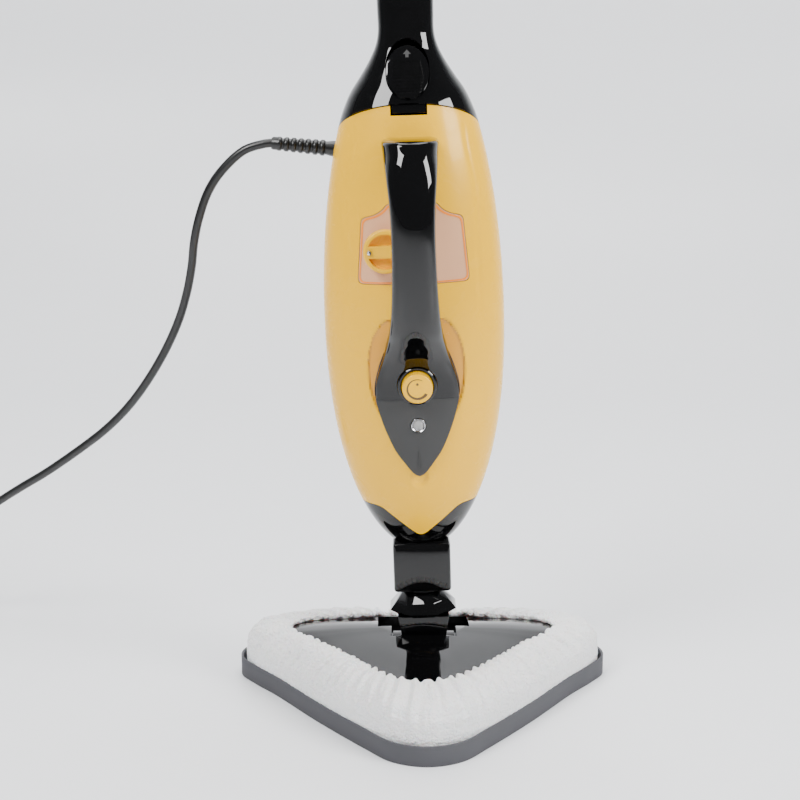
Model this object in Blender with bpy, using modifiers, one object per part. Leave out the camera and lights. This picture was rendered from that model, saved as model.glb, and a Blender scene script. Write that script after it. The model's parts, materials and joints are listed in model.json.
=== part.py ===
"""Steam mop: triangular floor head, removable handheld steamer and a two-piece pole.

Blender 4.5, metres, +Z up. The mop stands on z = 0. The triangle's tip, the grip and the
steam knob face -Y. Everything above the roll pin is modelled upright and hung on an empty
that leans it to one side, as the free swivel lets it stand.
"""
import math

import bmesh
import bpy
from mathutils import Matrix, Vector

GAP = 0.0004            # clearance between pieces that touch
WALL = 0.0025           # moulded shells
REST_LEAN = 1.8         # degrees that the body leans towards -X at rest

# Floor head
HEAD_HALF_WIDTH = 0.151
HEAD_FRONT = -0.151
HEAD_BACK = 0.084
HEAD_CENTRE_Y = -0.012
RIM_HEIGHT = 0.016
RIM_WALL = 0.002
RIB_WIDTH = 0.018          # the glider's two ribs, which cross at the origin
SOLE_THICKNESS = 0.012
PAD_UNDER = 0.0045
DOME_TOP = 0.055
HEM_THICKNESS = 0.0034
TROUGH_HALF = 0.0370      # room behind the swivel for the skirt when the mop leans back
TROUGH_LOW = 0.0320
LOBE_TROUGH_WIDTH = 0.0490
LOBE_LOW = 0.0240         # deeper room there for the neck's two lobes

# Swivel
PITCH_Z = 0.035
ROLL_Z = 0.060
BARREL_RADIUS = 0.015
BARREL_HALF = 0.0245
PIN_RADIUS = 0.003
TONGUE_HALF = 0.007
EAR_RADIUS = 0.0205
EAR_DEPTH = 0.0165

# Lower neck and skirt collar
SKIRT_LOW = 0.0690
SKIRT_RIM = 0.0735
SKIRT_TOP = 0.0860
SKIRT_RADIUS = 0.0287
SKIRT_FOOT_RADIUS = 0.0215
SKIRT_TOP_RADIUS = 0.0175
NECK_HALF_WIDTH = 0.0228
NECK_HALF_DEPTH = 0.0190
NECK_LOW = 0.0902
NECK_HIGH = 0.1310

# Handheld body: a rounded spindle
BODY_HALF_WIDTH = 0.0700
BODY_HALF_DEPTH = 0.0520
BODY_MID_Z = 0.3120
BODY_ABOVE = 0.2270
BODY_BELOW = 0.1900
BODY_LOW_POWER = 2.2
SEAM_Y = 0.0080
ARCH_SIDE_Z = 0.4566
ARCH_SLOPE = 0.537
CUP_EDGE_Z = 0.1650
CUP_TIP_Z = 0.1375
CUP_HALF_WIDTH = 0.0312

# Window, filler and cap
WINDOW_LOW = 0.3440
WINDOW_SHOULDER = 0.3930
WINDOW_HIGH = 0.4022
WINDOW_LOW_HALF = 0.0420
WINDOW_SHOULDER_HALF = 0.0380
WINDOW_TOP_HALF = 0.0185
CAP_X = -0.0210
CAP_Z = 0.3700
CAP_RADIUS = 0.0162
CAP_THICKNESS = 0.0095
SPOUT_RADIUS = 0.0115
TANK_HALF_WIDTH = 0.0480
TANK_LOW = 0.3360
TANK_HIGH = 0.4150
TANK_BACK = -0.0100
TANK_WALL = 0.0020

# Steam knob and lamp
KNOB_Z = 0.2675
KNOB_RADIUS = 0.0118
KNOB_DEPTH = 0.0100
KNOB_TILT = 6.0
PLATE_THICKNESS = 0.0030
LAMP_Z = 0.2350
LAMP_RADIUS = 0.0055

# Connector and pole
CONNECTOR_TOP = 0.6000
CONNECTOR_DEPTH_RATIO = 0.76
TUBE_RADIUS = 0.0130
TUBE_WALL = 0.0015
TUBE_JOINT_Z = 0.8350
TUBE_TOP_Z = 1.0300
HANDLE_TOP_Z = 1.1600
BUTTON_TILT = 24.0
BUTTON_Z = 0.4980
BUTTON_Y = -0.0275
BUTTON_HALF_WIDTH = 0.0160
BUTTON_HALF_HEIGHT = 0.0205
BUTTON_TRAVEL = 0.0060

# Mains cord
CORD_DIAMETER = 0.007
COIL_CENTRE = (-0.478, 0.222)
COIL_MID_RADIUS = 0.049
COIL_HALF_WIDTH = 0.0142
COIL_HEIGHT = 0.0285
RELIEF_Y = 0.0250
RELIEF_START = (-0.0450, 0.4381)
RELIEF_END = (-0.1065, 0.4457)
RELIEF_RADIUS = 0.0062     # the strain relief at the wall of the shell
COIL_TURN_END = (-0.5450, 0.2360)
PLUG_X = -0.5490
PLUG_Y = 0.2640
PLUG_LENGTH = 0.038
PIN_LENGTH = 0.019
CORD_ROUTE = [
    (-0.1210, 0.025, 0.4423), (-0.140, 0.026, 0.4365), (-0.157, 0.028, 0.4215),
    (-0.169, 0.031, 0.4042), (-0.177, 0.034, 0.3834), (-0.182, 0.038, 0.3630),
    (-0.185, 0.044, 0.3430), (-0.190, 0.050, 0.3210), (-0.198, 0.058, 0.2970),
    (-0.210, 0.067, 0.2715), (-0.226, 0.077, 0.2445), (-0.245, 0.088, 0.2185),
    (-0.267, 0.099, 0.1955), (-0.293, 0.111, 0.1740), (-0.323, 0.124, 0.1515),
    (-0.350, 0.135, 0.1335), (-0.376, 0.146, 0.1150), (-0.403, 0.156, 0.0930),
    (-0.427, 0.164, 0.0700), (-0.447, 0.170, 0.0500), (-0.463, 0.173, 0.0370),
    (-0.478, 0.173, 0.0324),
]

MOP = "steam_mop"
CUTTERS = "cutters"


# ---------------------------------------------------------------- scene helpers

def clear_scene():
    """Remove every object, so that the script starts from nothing."""
    for item in list(bpy.data.objects):
        bpy.data.objects.remove(item, do_unlink=True)


def collection(name):
    """Return the scene's collection of this name, made at its first use."""
    found = bpy.data.collections.get(name)
    if found is None:
        found = bpy.data.collections.new(name)
        bpy.context.scene.collection.children.link(found)
    return found


def material(name, colour, roughness, metallic=0.0, alpha=1.0):
    """Return a plain Principled material."""
    found = bpy.data.materials.get(name)
    if found is None:
        found = bpy.data.materials.new(name)
        found.use_nodes = True
        shader = found.node_tree.nodes["Principled BSDF"]
        shader.inputs["Base Color"].default_value = (*colour, 1.0)
        shader.inputs["Roughness"].default_value = roughness
        shader.inputs["Metallic"].default_value = metallic
        shader.inputs["Alpha"].default_value = alpha
    return found


def finish_of(name):
    """Return one of the mop's finishes by name."""
    table = {
        "yellow": ((0.95, 0.56, 0.03), 0.25),
        "gloss_black": ((0.012, 0.012, 0.013), 0.12),
        "satin_black": ((0.035, 0.035, 0.036), 0.45),
        "glider_grey": ((0.06, 0.06, 0.065), 0.45),
        "rubber": ((0.02, 0.02, 0.02), 0.7),
        "amber": ((0.90, 0.45, 0.22), 0.15),
        "clear": ((0.85, 0.85, 0.85), 0.08),
        "microfibre": ((0.92, 0.92, 0.92), 0.95),
        "silicone": ((0.72, 0.70, 0.66), 0.6),
        "board": ((0.05, 0.25, 0.10), 0.5),
        "ivory": ((0.82, 0.79, 0.70), 0.4),
    }
    metals = {
        "steel": ((0.62, 0.62, 0.64), 0.3),
        "brass": ((0.75, 0.58, 0.28), 0.3),
        "aluminium": ((0.70, 0.71, 0.73), 0.4),
        "black_tube": ((0.03, 0.03, 0.032), 0.3),
    }
    if name in metals:
        colour, roughness = metals[name]
        return material(name, colour, roughness, metallic=1.0)
    colour, roughness = table[name]
    return material(name, colour, roughness, alpha=0.4 if name in ("amber", "clear") else 1.0)


def keep(item, finish, hang=None):
    """File a piece under the mop, dress it and hang it on its joint's empty."""
    return file_under(item, MOP, hang, finish_of(finish))


def cutter(item, hang=None):
    """File a cutting body, which is no piece of the mop."""
    item.hide_render = True
    item.display_type = "WIRE"
    return file_under(item, CUTTERS, hang, None)


def file_under(item, group, hang, finish):
    """Move an object to a collection, and hang it on an empty without moving its shape."""
    for old in list(item.users_collection):
        old.objects.unlink(item)
    collection(group).objects.link(item)
    if finish is not None:
        item.data.materials.clear()
        item.data.materials.append(finish)
    if hang is not None:
        item.parent = hang
        item.matrix_parent_inverse = Matrix.Translation(-hang.location)
    return item


def axis_empty(name, location, turn=(0.0, 0.0, 0.0)):
    """Make the empty on a joint's axis that moving pieces hang on."""
    empty = bpy.data.objects.new(name, None)
    empty.location = location
    empty.rotation_euler = turn
    empty.empty_display_size = 0.02
    collection(MOP).objects.link(empty)
    return empty


# ---------------------------------------------------------------- shape helpers

def mesh_object(name, bm):
    """Turn a bmesh into an object with smooth faces and crisp edges."""
    mesh = bpy.data.meshes.new(name)
    bm.to_mesh(mesh)
    bm.free()
    mesh.shade_smooth()
    mesh.set_sharp_from_angle(angle=math.radians(40))
    item = bpy.data.objects.new(name, mesh)
    collection(MOP).objects.link(item)
    return item


def box(name, size, centre, bevel=0.0, turn=(0.0, 0.0, 0.0)):
    """Make a block with optional rounded edges."""
    bpy.ops.mesh.primitive_cube_add(size=1.0, location=centre, rotation=turn)
    item = bpy.context.active_object
    item.name = name
    item.data.transform(Matrix.Diagonal((*size, 1.0)))
    if bevel > 0.0:
        rounding = item.modifiers.new("edges", "BEVEL")
        rounding.width = bevel
        rounding.segments = 2
    return item


def cylinder(name, radius, length, centre, axis="Z", sides=24):
    """Make a round bar along X, Y or Z, centred on a point."""
    turn = {"X": (0.0, math.pi / 2, 0.0), "Y": (math.pi / 2, 0.0, 0.0), "Z": (0.0, 0.0, 0.0)}[axis]
    bpy.ops.mesh.primitive_cylinder_add(
        vertices=sides, radius=radius, depth=length, location=centre, rotation=turn)
    item = bpy.context.active_object
    item.name = name
    item.data.shade_smooth()
    item.data.set_sharp_from_angle(angle=math.radians(40))
    return item


def lathe(name, profile, centre=(0.0, 0.0, 0.0), turn=(0.0, 0.0, 0.0), steps=24, flat=1.0,
          closed=False):
    """Turn a profile of (radius, height) points, from the top down the outer side.

    flat squeezes the turned shape along Y, and closed joins the last point to the first.
    """
    bm = bmesh.new()
    points = [bm.verts.new((radius, 0.0, height)) for radius, height in profile]
    for first, second in zip(points, points[1:]):
        bm.edges.new((first, second))
    if closed:
        bm.edges.new((points[-1], points[0]))
    item = mesh_object(name, bm)
    screw = item.modifiers.new("turn", "SCREW")
    screw.steps = steps
    screw.render_steps = steps
    screw.use_merge_vertices = True
    screw.merge_threshold = 0.00001
    item.location = centre
    item.rotation_euler = turn
    if flat != 1.0:
        item.scale = (1.0, flat, 1.0)
    return item


def arc_points(centre, radius, start, end, steps):
    """List points along an arc, in degrees."""
    angles = [math.radians(start + (end - start) * i / steps) for i in range(steps + 1)]
    return [(centre[0] + radius * math.cos(a), centre[1] + radius * math.sin(a)) for a in angles]


def rounded(corners, radius, steps=3):
    """Round each corner of a polygon, within half of its shorter side."""
    outline = []
    count = len(corners)
    for index in range(count):
        here = Vector(corners[index])
        before = Vector(corners[index - 1]) - here
        after = Vector(corners[(index + 1) % count]) - here
        reach = min(radius, before.length * 0.45, after.length * 0.45)
        first = here + before.normalized() * reach
        last = here + after.normalized() * reach
        for step in range(steps + 1):
            t = step / steps
            point = first * (1 - t) ** 2 + here * 2 * t * (1 - t) + last * t ** 2
            outline.append((point.x, point.y))
    return outline


def through(points, closed, per_span):
    """Sample a smooth curve through the given points (Catmull-Rom)."""
    keys = [Vector(point) for point in points]
    count = len(keys)
    spans = count if closed else count - 1
    samples = []
    for i in range(spans):
        p1, p2 = keys[i], keys[(i + 1) % count]
        p0 = keys[i - 1] if closed or i > 0 else p1 * 2 - p2
        p3 = keys[(i + 2) % count] if closed or i + 2 < count else p2 * 2 - p1
        for step in range(per_span):
            t = step / per_span
            samples.append(0.5 * (2 * p1 + (p2 - p0) * t + (2 * p0 - 5 * p1 + 4 * p2 - p3) * t ** 2
                                  + (3 * p1 - p0 - 3 * p2 + p3) * t ** 3))
    if not closed:
        samples.append(keys[-1])
    return samples


def prism(name, outline, low, high, axis="Z"):
    """Extrude an outline from low to high along an axis, as a welded mesh.

    The outline is in X, Y for axis Z, in X, Z for axis Y, and in Y, Z for axis X.
    """
    curve = bpy.data.curves.new(name, "CURVE")
    curve.dimensions = "2D"
    curve.fill_mode = "BOTH"
    curve.extrude = (high - low) / 2
    spline = curve.splines.new("POLY")
    spline.points.add(len(outline) - 1)
    for point, place in zip(spline.points, outline):
        point.co = (place[0], place[1], 0.0, 1.0)
    spline.use_cyclic_u = True
    item = bpy.data.objects.new(name, curve)
    middle = (low + high) / 2
    if axis == "Y":
        item.rotation_euler = (math.pi / 2, 0.0, 0.0)
        item.location = (0.0, middle, 0.0)
    elif axis == "X":
        item.rotation_euler = (math.pi / 2, 0.0, math.pi / 2)
        item.location = (middle, 0.0, 0.0)
    else:
        item.location = (0.0, 0.0, middle)
    return as_mesh(item)


def as_mesh(curve_item):
    """Replace a curve object by its welded mesh, with its place kept."""
    collection(MOP).objects.link(curve_item)
    bpy.context.view_layer.update()
    graph = bpy.context.evaluated_depsgraph_get()
    mesh = bpy.data.meshes.new_from_object(curve_item.evaluated_get(graph))
    bm = bmesh.new()
    bm.from_mesh(mesh)
    bmesh.ops.remove_doubles(bm, verts=bm.verts, dist=0.000001)
    bmesh.ops.recalc_face_normals(bm, faces=bm.faces)
    name = curve_item.name
    place = curve_item.matrix_world.copy()
    bpy.data.objects.remove(curve_item, do_unlink=True)
    item = mesh_object(name, bm)
    item.matrix_world = place
    return item


def tube(name, points, radius, resolution=2):
    """Make a round bar along points, with closed ends."""
    curve = bpy.data.curves.new(name, "CURVE")
    curve.dimensions = "3D"
    curve.bevel_depth = radius
    curve.bevel_resolution = resolution
    curve.render_resolution_u = 0
    curve.use_fill_caps = True
    spline = curve.splines.new("POLY")
    spline.points.add(len(points) - 1)
    for point, place in zip(spline.points, points):
        point.co = (*place, 1.0)
    item = bpy.data.objects.new(name, curve)
    collection(MOP).objects.link(item)
    return item


def loft(name, rings):
    """Skin a list of point rings and close both ends."""
    bm = bmesh.new()
    rows = [[bm.verts.new(point) for point in ring] for ring in rings]
    count = len(rows[0])
    for lower, upper in zip(rows, rows[1:]):
        for i in range(count):
            j = (i + 1) % count
            bm.faces.new((lower[i], lower[j], upper[j], upper[i]))
    bm.faces.new(reversed(rows[0]))
    bm.faces.new(rows[-1])
    bmesh.ops.recalc_face_normals(bm, faces=bm.faces)
    return mesh_object(name, bm)


def combine(target, tool, operation):
    """Apply a boolean between a piece and a cutting body."""
    step = target.modifiers.new(operation.lower() + "_" + tool.name, "BOOLEAN")
    step.operation = operation
    step.object = tool
    step.solver = "EXACT"
    return target


def cut(target, *tools):
    """Take each cutting body away from a piece."""
    for tool in tools:
        combine(target, tool, "DIFFERENCE")
    return target


# ---------------------------------------------------------------- floor head

def head_outline(scale_x=1.0, scale_y=1.0):
    """Return the rounded triangle, its tip to -Y, scaled about the head's centre."""
    half = [
        (0.0, HEAD_FRONT), (0.026, HEAD_FRONT + 0.009), (0.047, HEAD_FRONT + 0.034),
        (0.084, HEAD_FRONT + 0.085), (0.118, HEAD_FRONT + 0.137), (0.138, HEAD_FRONT + 0.164),
        (HEAD_HALF_WIDTH, 0.036), (0.146, 0.060), (0.120, HEAD_BACK - 0.008),
        (0.060, HEAD_BACK - 0.001), (0.0, HEAD_BACK),
    ]
    other = [(-x, y) for x, y in reversed(half[1:-1])]
    ring = through([(x, y, 0.0) for x, y in half + other], closed=True, per_span=2)
    return [(p.x * scale_x, HEAD_CENTRE_Y + (p.y - HEAD_CENTRE_Y) * scale_y) for p in ring]


def head_ring(scale_x, scale_y, height):
    """Return the head's outline as a ring of 3-D points at a height."""
    return [(x, y, height) for x, y in head_outline(scale_x, scale_y)]


def inset_scale(inset):
    """Return the scale that moves the head's widest point in by a distance."""
    return 1.0 - inset / HEAD_HALF_WIDTH


SOLE_LOW = RIM_WALL + GAP + PAD_UNDER + GAP
SOLE_HIGH = SOLE_LOW + SOLE_THICKNESS
SOLE_SCALE = 0.925
DOME_EDGE = SOLE_HIGH + GAP
DOME_STEPS = [
    (0.925, 0.925, DOME_EDGE), (0.920, 0.920, 0.0290), (0.880, 0.875, 0.0360),
    (0.795, 0.765, 0.0410), (0.700, 0.620, 0.0445), (0.600, 0.500, 0.0475),
    (0.420, 0.360, 0.0515), (0.220, 0.200, DOME_TOP),
]


def make_glider():
    """Build the carpet glider: a shallow tray, open in the middle but for two crossing ribs."""
    inner = inset_scale(RIM_WALL)
    tray = keep(prism("carpet_glider", head_outline(), 0.0, RIM_HEIGHT), "glider_grey")
    hollow = cutter(prism("glider_hollow", head_outline(inner, inner), RIM_WALL, 0.05))
    window = cutter(prism("glider_window", head_outline(0.72, 0.68), -0.01, 0.01))
    for name, size in (("rib_across", (0.4, RIB_WIDTH, 0.05)), ("rib_along", (RIB_WIDTH, 0.4, 0.05))):
        combine(window, cutter(box(name, size, (0.0, 0.0, 0.0))), "DIFFERENCE")
    return cut(tray, hollow, window)


def make_sole():
    """Build the sole plate, with its rows of steam holes and a slot for the steam elbow."""
    outline = head_outline(SOLE_SCALE, SOLE_SCALE)
    sole = keep(prism("sole_plate", outline, SOLE_LOW, SOLE_HIGH), "satin_black")
    for row in range(3):
        for side in range(5 - row):
            x = (side - (4 - row) / 2) * 0.030
            y = 0.030 - row * 0.036
            hole = cylinder(f"steam_hole_{row}_{side}", 0.0022, 0.05, (x, y, SOLE_LOW), sides=8)
            cut(sole, cutter(hole))
    return sole


def make_dome():
    """Build the head's glossy cover with the well that the swivel turns in."""
    dome = keep(loft("head_cover", [head_ring(*step) for step in DOME_STEPS]), "gloss_black")
    inside = [(sx * 0.965, sy * 0.965, z - 0.003) for sx, sy, z in DOME_STEPS]
    inside[0] = (inside[0][0], inside[0][1], DOME_EDGE - 0.01)
    hollow = cutter(loft("dome_hollow", [head_ring(*step) for step in inside]))
    boss = cutter(box("dome_boss", (0.078, 0.104, 0.10), (0.0, 0.010, 0.04)))
    combine(hollow, boss, "DIFFERENCE")
    well_radius = BARREL_RADIUS + 0.0065
    well = cutter(cylinder("barrel_well", well_radius, 2 * BARREL_HALF + 0.003,
                           (0.0, 0.0, PITCH_Z), "X", 32))
    mouth = cutter(box("well_mouth", (2 * BARREL_HALF + 0.003, 2 * well_radius, 0.05),
                       (0.0, 0.0, PITCH_Z + 0.025)))
    trough = cutter(box("lean_trough", (2 * TROUGH_HALF, 0.060, 0.05), (0.0, 0.030, TROUGH_LOW + 0.025)))
    lobes = cutter(box("lobe_trough", (LOBE_TROUGH_WIDTH, 0.030, 0.05), (0.0, 0.025, LOBE_LOW + 0.025)))
    bore = cutter(cylinder("pitch_bore", PIN_RADIUS + GAP, 0.0716, (0.0, 0.0, PITCH_Z), "X"))
    return cut(dome, hollow, well, mouth, trough, lobes, bore)


def make_pad():
    """Build the microfibre pad as one plain bag round the sole, open over the cover."""
    lining = [(sx + 0.010, sy + 0.012, z + 0.0009) for sx, sy, z in DOME_STEPS[1:5]]
    inner = [(SOLE_SCALE + 0.005, SOLE_SCALE + 0.006, SOLE_LOW - GAP),
             (SOLE_SCALE + 0.010, SOLE_SCALE + 0.012, SOLE_LOW + 0.002)] + lining
    low = RIM_WALL + GAP
    outer = [(0.935, 0.935, low), (0.972, 0.972, low + 0.003), (0.975, 0.975, 0.019)]
    outer += [(min(sx + 0.045, 0.985), min(sy + 0.045, 0.985), z + HEM_THICKNESS * 0.6)
              for sx, sy, z in lining[:1]]
    outer += [(sx + 0.030, sy + 0.030, z + HEM_THICKNESS) for sx, sy, z in lining[1:3]]
    outer += [(sx + 0.004, sy + 0.004, z + HEM_THICKNESS) for sx, sy, z in lining[3:]]
    rings = [head_ring(*step) for step in outer + inner[::-1]]
    pad = keep(loft("microfibre_pad", rings), "microfibre")
    notch = cutter(box("hem_notch", (0.078, 0.050, 0.05), (0.0, 0.040, 0.0345 + 0.025)))
    return cut(pad, notch)


def make_head_fixings():
    """Build the pitch pin and the elbow that leads steam to the sole."""
    keep(cylinder("pitch_pin", PIN_RADIUS, 0.070, (0.0, 0.0, PITCH_Z), "X"), "steel")
    elbow = keep(cylinder("steam_elbow", 0.006, 0.010, (0.055, 0.020, SOLE_HIGH + 0.0056)), "brass")
    return elbow


# ---------------------------------------------------------------- swivel and lower neck

def make_swivel(pitch):
    """Build the block that pitches in the head and carries the roll pin."""
    block = keep(cylinder("swivel_block", BARREL_RADIUS, 2 * BARREL_HALF,
                          (0.0, 0.0, PITCH_Z), "X", 32), "gloss_black", pitch)
    tongue = cutter(prism("swivel_tongue", tongue_outline(), -TONGUE_HALF, TONGUE_HALF, "Y"), pitch)
    for side in (-1, 1):
        start, end = sorted((side * (TONGUE_HALF), side * 0.03))
        scoop = cylinder(f"ear_scoop_{side + 1}", EAR_RADIUS + 0.0006, end - start,
                         (0.0, (start + end) / 2, ROLL_Z), "Y", 40)
        cut(block, cutter(scoop, pitch))
    combine(block, tongue, "UNION")
    cut(block, cutter(cylinder("block_pitch_bore", PIN_RADIUS + GAP, 0.08,
                               (0.0, 0.0, PITCH_Z), "X"), pitch))
    cut(block, cutter(cylinder("block_roll_bore", PIN_RADIUS + GAP, 0.08,
                               (0.0, 0.0, ROLL_Z), "Y"), pitch))
    pin = cylinder("roll_pin", PIN_RADIUS, 2 * EAR_DEPTH - 0.003, (0.0, 0.0, ROLL_Z), "Y")
    keep(pin, "steel", pitch)
    return block


def tongue_outline():
    """Return the tongue's side: straight flanks under a round end at the roll pin."""
    half = 0.0080
    return [(-half, PITCH_Z), (half, PITCH_Z)] + arc_points((0.0, ROLL_Z), half, 0.0, 180.0, 10)


def make_lower_neck(roll):
    """Build the forked stub that rolls on the pin, and its faceted skirt."""
    outline = [(EAR_RADIUS, SKIRT_LOW - GAP), (-EAR_RADIUS, SKIRT_LOW - GAP)]
    lower = arc_points((0.0, ROLL_Z), EAR_RADIUS * 0.93, 200.0, 340.0, 12)
    neck = prism("lower_neck", outline + lower, -EAR_DEPTH, EAR_DEPTH, "Y")
    keep(neck, "gloss_black", roll)
    slot_top = ROLL_Z + 0.0080 + GAP
    slot = box("neck_slot", (0.06, 2 * (TONGUE_HALF + GAP), 0.06), (0.0, 0.0, slot_top - 0.03))
    bore = cylinder("neck_roll_bore", PIN_RADIUS + GAP, 2 * EAR_DEPTH - 0.003 + 2 * GAP,
                    (0.0, 0.0, ROLL_Z), "Y")
    cut(neck, cutter(slot, roll), cutter(bore, roll))
    turn = (0.0, 0.0, math.radians(22.5))
    profile = [(0.0, 0.1120), (0.0105, 0.1120), (0.0105, SKIRT_TOP + 0.0012),
               (SKIRT_TOP_RADIUS - 0.0010, SKIRT_TOP + 0.0012), (SKIRT_TOP_RADIUS, SKIRT_TOP),
               (SKIRT_RADIUS, SKIRT_RIM), (SKIRT_FOOT_RADIUS, SKIRT_LOW), (0.0, SKIRT_LOW)]
    skirt = lathe("skirt_collar", profile, turn=turn, steps=8)
    skirt.data.shade_flat()
    keep(skirt, "gloss_black", roll)
    seal = lathe("neck_seal", ring_profile(0.0135, NECK_LOW - 0.0015, 0.0011),
                 steps=24, closed=True)
    return keep(seal, "rubber", roll)


def ring_profile(radius, height, section, sides=8):
    """Return the round section of a ring, running down its outer side first."""
    steps = [2 * math.pi * (0.25 - i / sides) for i in range(sides)]
    return [(radius + section * math.cos(a), height + section * math.sin(a)) for a in steps]


# ---------------------------------------------------------------- handheld body

def body_ratio(height):
    """Return the body's width at a height, as a share of its widest."""
    if height >= BODY_MID_Z:
        return math.sqrt(max(0.0, 1 - ((height - BODY_MID_Z) / BODY_ABOVE) ** 2))
    return math.sqrt(max(0.0, 1 - ((BODY_MID_Z - height) / BODY_BELOW) ** BODY_LOW_POWER))


def front_y(x, height, grow=0.0):
    """Return Y of the body's front surface, moved out by a distance."""
    across = x / (BODY_HALF_WIDTH + grow)
    return -(BODY_HALF_DEPTH + grow) * math.sqrt(max(0.0, body_ratio(height) ** 2 - across ** 2))


def add_spindle(bm, grow, inward=False):
    """Add the body's closed surface to a bmesh, moved out by a distance."""
    made = bmesh.ops.create_uvsphere(bm, u_segments=32, v_segments=20, radius=1.0)
    for vert in made["verts"]:
        rise, reach = vert.co.z, math.hypot(vert.co.x, vert.co.y)
        length = (BODY_ABOVE if rise >= 0 else BODY_BELOW) + grow
        share = reach if rise >= 0 else math.sqrt(max(0.0, 1 - abs(rise) ** BODY_LOW_POWER))
        spread = share / reach if reach > 0.0001 else 0.0
        vert.co = (vert.co.x * spread * (BODY_HALF_WIDTH + grow),
                   vert.co.y * spread * (BODY_HALF_DEPTH + grow), BODY_MID_Z + rise * length)
    if inward:
        faces = {face for vert in made["verts"] for face in vert.link_faces}
        bmesh.ops.reverse_faces(bm, faces=list(faces))


def body_solid(name, grow):
    """Return the whole body as one solid."""
    bm = bmesh.new()
    add_spindle(bm, grow)
    return mesh_object(name, bm)


def body_skin(name, outer, inner):
    """Return the layer between two distances from the body's surface."""
    bm = bmesh.new()
    add_spindle(bm, outer)
    add_spindle(bm, inner, inward=True)
    return mesh_object(name, bm)


def cup_outline(lift, low):
    """Return the front view of the lower cup: a wide V with a rounded tip."""
    top = CUP_EDGE_Z + lift
    corners = [(-0.09, low), (0.09, low), (0.09, top), (CUP_HALF_WIDTH, top),
               (0.0, CUP_TIP_Z + lift), (-CUP_HALF_WIDTH, top), (-0.09, top)]
    return rounded(corners, 0.006)


def window_outline(grow):
    """Return the front view of the water window, a low house shape."""
    low, shoulder, high = WINDOW_LOW - grow, WINDOW_SHOULDER + grow, WINDOW_HIGH + grow
    half = [(WINDOW_LOW_HALF + grow, low), (WINDOW_SHOULDER_HALF + grow, shoulder),
            (WINDOW_TOP_HALF + grow, high)]
    return rounded(half + [(-x, z) for x, z in reversed(half)], 0.005)


def plate_outline(grow):
    """Return the front view of the control plate, a spade with its point down."""
    half = [(0.0, 0.1935 - grow), (0.0110 + grow, 0.2045), (0.0190 + grow, 0.2165),
            (0.0280 + grow, 0.2400), (0.0325 + grow, 0.2620), (0.0290 + grow, 0.2800),
            (0.0245 + grow, 0.2920 + grow)]
    return half + [(-x, z) for x, z in reversed(half[1:])]


def arch_outline(lift, above):
    """Return the side view of what lies above, or below, the body's top edge."""
    reach = 0.09
    line = [(-reach, ARCH_SIDE_Z + ARCH_SLOPE * reach + lift), (0.0, ARCH_SIDE_Z + lift),
            (reach, ARCH_SIDE_Z + lift)]
    far = 0.70 if above else 0.40
    return line + [(reach, far), (-reach, far)]


def make_shells(hang):
    """Build the yellow front shell, the black rear shell and the lower cup."""
    arch = cutter(prism("above_arch", arch_outline(0.0, True), -0.1, 0.1, "X"), hang)
    below = cutter(prism("below_cup", cup_outline(GAP, 0.05), -0.1, 0.1, "Y"), hang)
    behind = cutter(box("behind_seam", (0.3, 0.2, 0.7), (0.0, SEAM_Y - GAP / 2 + 0.1, 0.3)), hang)
    before = cutter(box("before_seam", (0.3, 0.2, 0.7), (0.0, SEAM_Y + GAP / 2 - 0.1, 0.3)), hang)
    hole = cutter(prism("window_hole", window_outline(GAP), -0.1, 0.0, "Y"), hang)
    front = keep(body_skin("front_shell", 0.0, -WALL), "yellow", hang)
    cut(front, behind, arch, below, hole, latch_slot(hang), shaft_hole(hang), lamp_hole(hang))
    rear = keep(body_skin("rear_shell", 0.0, -WALL), "satin_black", hang)
    cut(rear, before, arch, below, relief_bore(hang), *screw_bores(hang))
    region = cutter(prism("cup_region", cup_outline(0.0, NECK_HIGH + GAP), -0.1, 0.1, "Y"), hang)
    cup = keep(body_skin("lower_cup", 0.0, -WALL), "gloss_black", hang)
    combine(cup, region, "INTERSECT")


def latch_slot(hang):
    """Return the slot in the body's top edge that the pole's latch drops into."""
    size = (2 * 0.0137, 0.030, 0.024)
    return cutter(box("latch_slot", size, (0.0, -0.034, 0.4800)), hang)


def shaft_hole(hang):
    """Return the bore for the steam knob's shaft."""
    return cutter(cylinder("shaft_hole", 0.0035 + GAP, 0.06, (0.0, -0.050, KNOB_Z), "Y"), hang)


def lamp_hole(hang):
    """Return the bore for the lamp's lens."""
    return cutter(cylinder("lamp_hole", LAMP_RADIUS + GAP, 0.06, (0.0, -0.050, LAMP_Z), "Y"), hang)


def relief_direction():
    """Return the unit direction in which the cord leaves the body."""
    return Vector((RELIEF_END[0] - RELIEF_START[0], 0.0, RELIEF_END[1] - RELIEF_START[1])).normalized()


def relief_turn():
    """Return the rotation that lays a turned piece along the cord's way out."""
    way = relief_direction()
    return (0.0, math.atan2(way.x, way.z), 0.0)


def relief_bore(hang):
    """Return the bore in the rear shell that the strain relief fills."""
    bore = cylinder("relief_bore", RELIEF_RADIUS + GAP, 0.05, (RELIEF_START[0], RELIEF_Y, RELIEF_START[1]))
    bore.rotation_euler = relief_turn()
    return cutter(bore, hang)


SCREW_PLACES = [(-0.034, 0.245), (0.034, 0.245), (0.0, 0.412)]


def screw_bores(hang):
    """Return the bores for the rear shell's screws."""
    return [cutter(cylinder(f"screw_bore_{i}", 0.0034, 0.06, (x, 0.050, z), "Y", 12), hang)
            for i, (x, z) in enumerate(SCREW_PLACES)]


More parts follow.
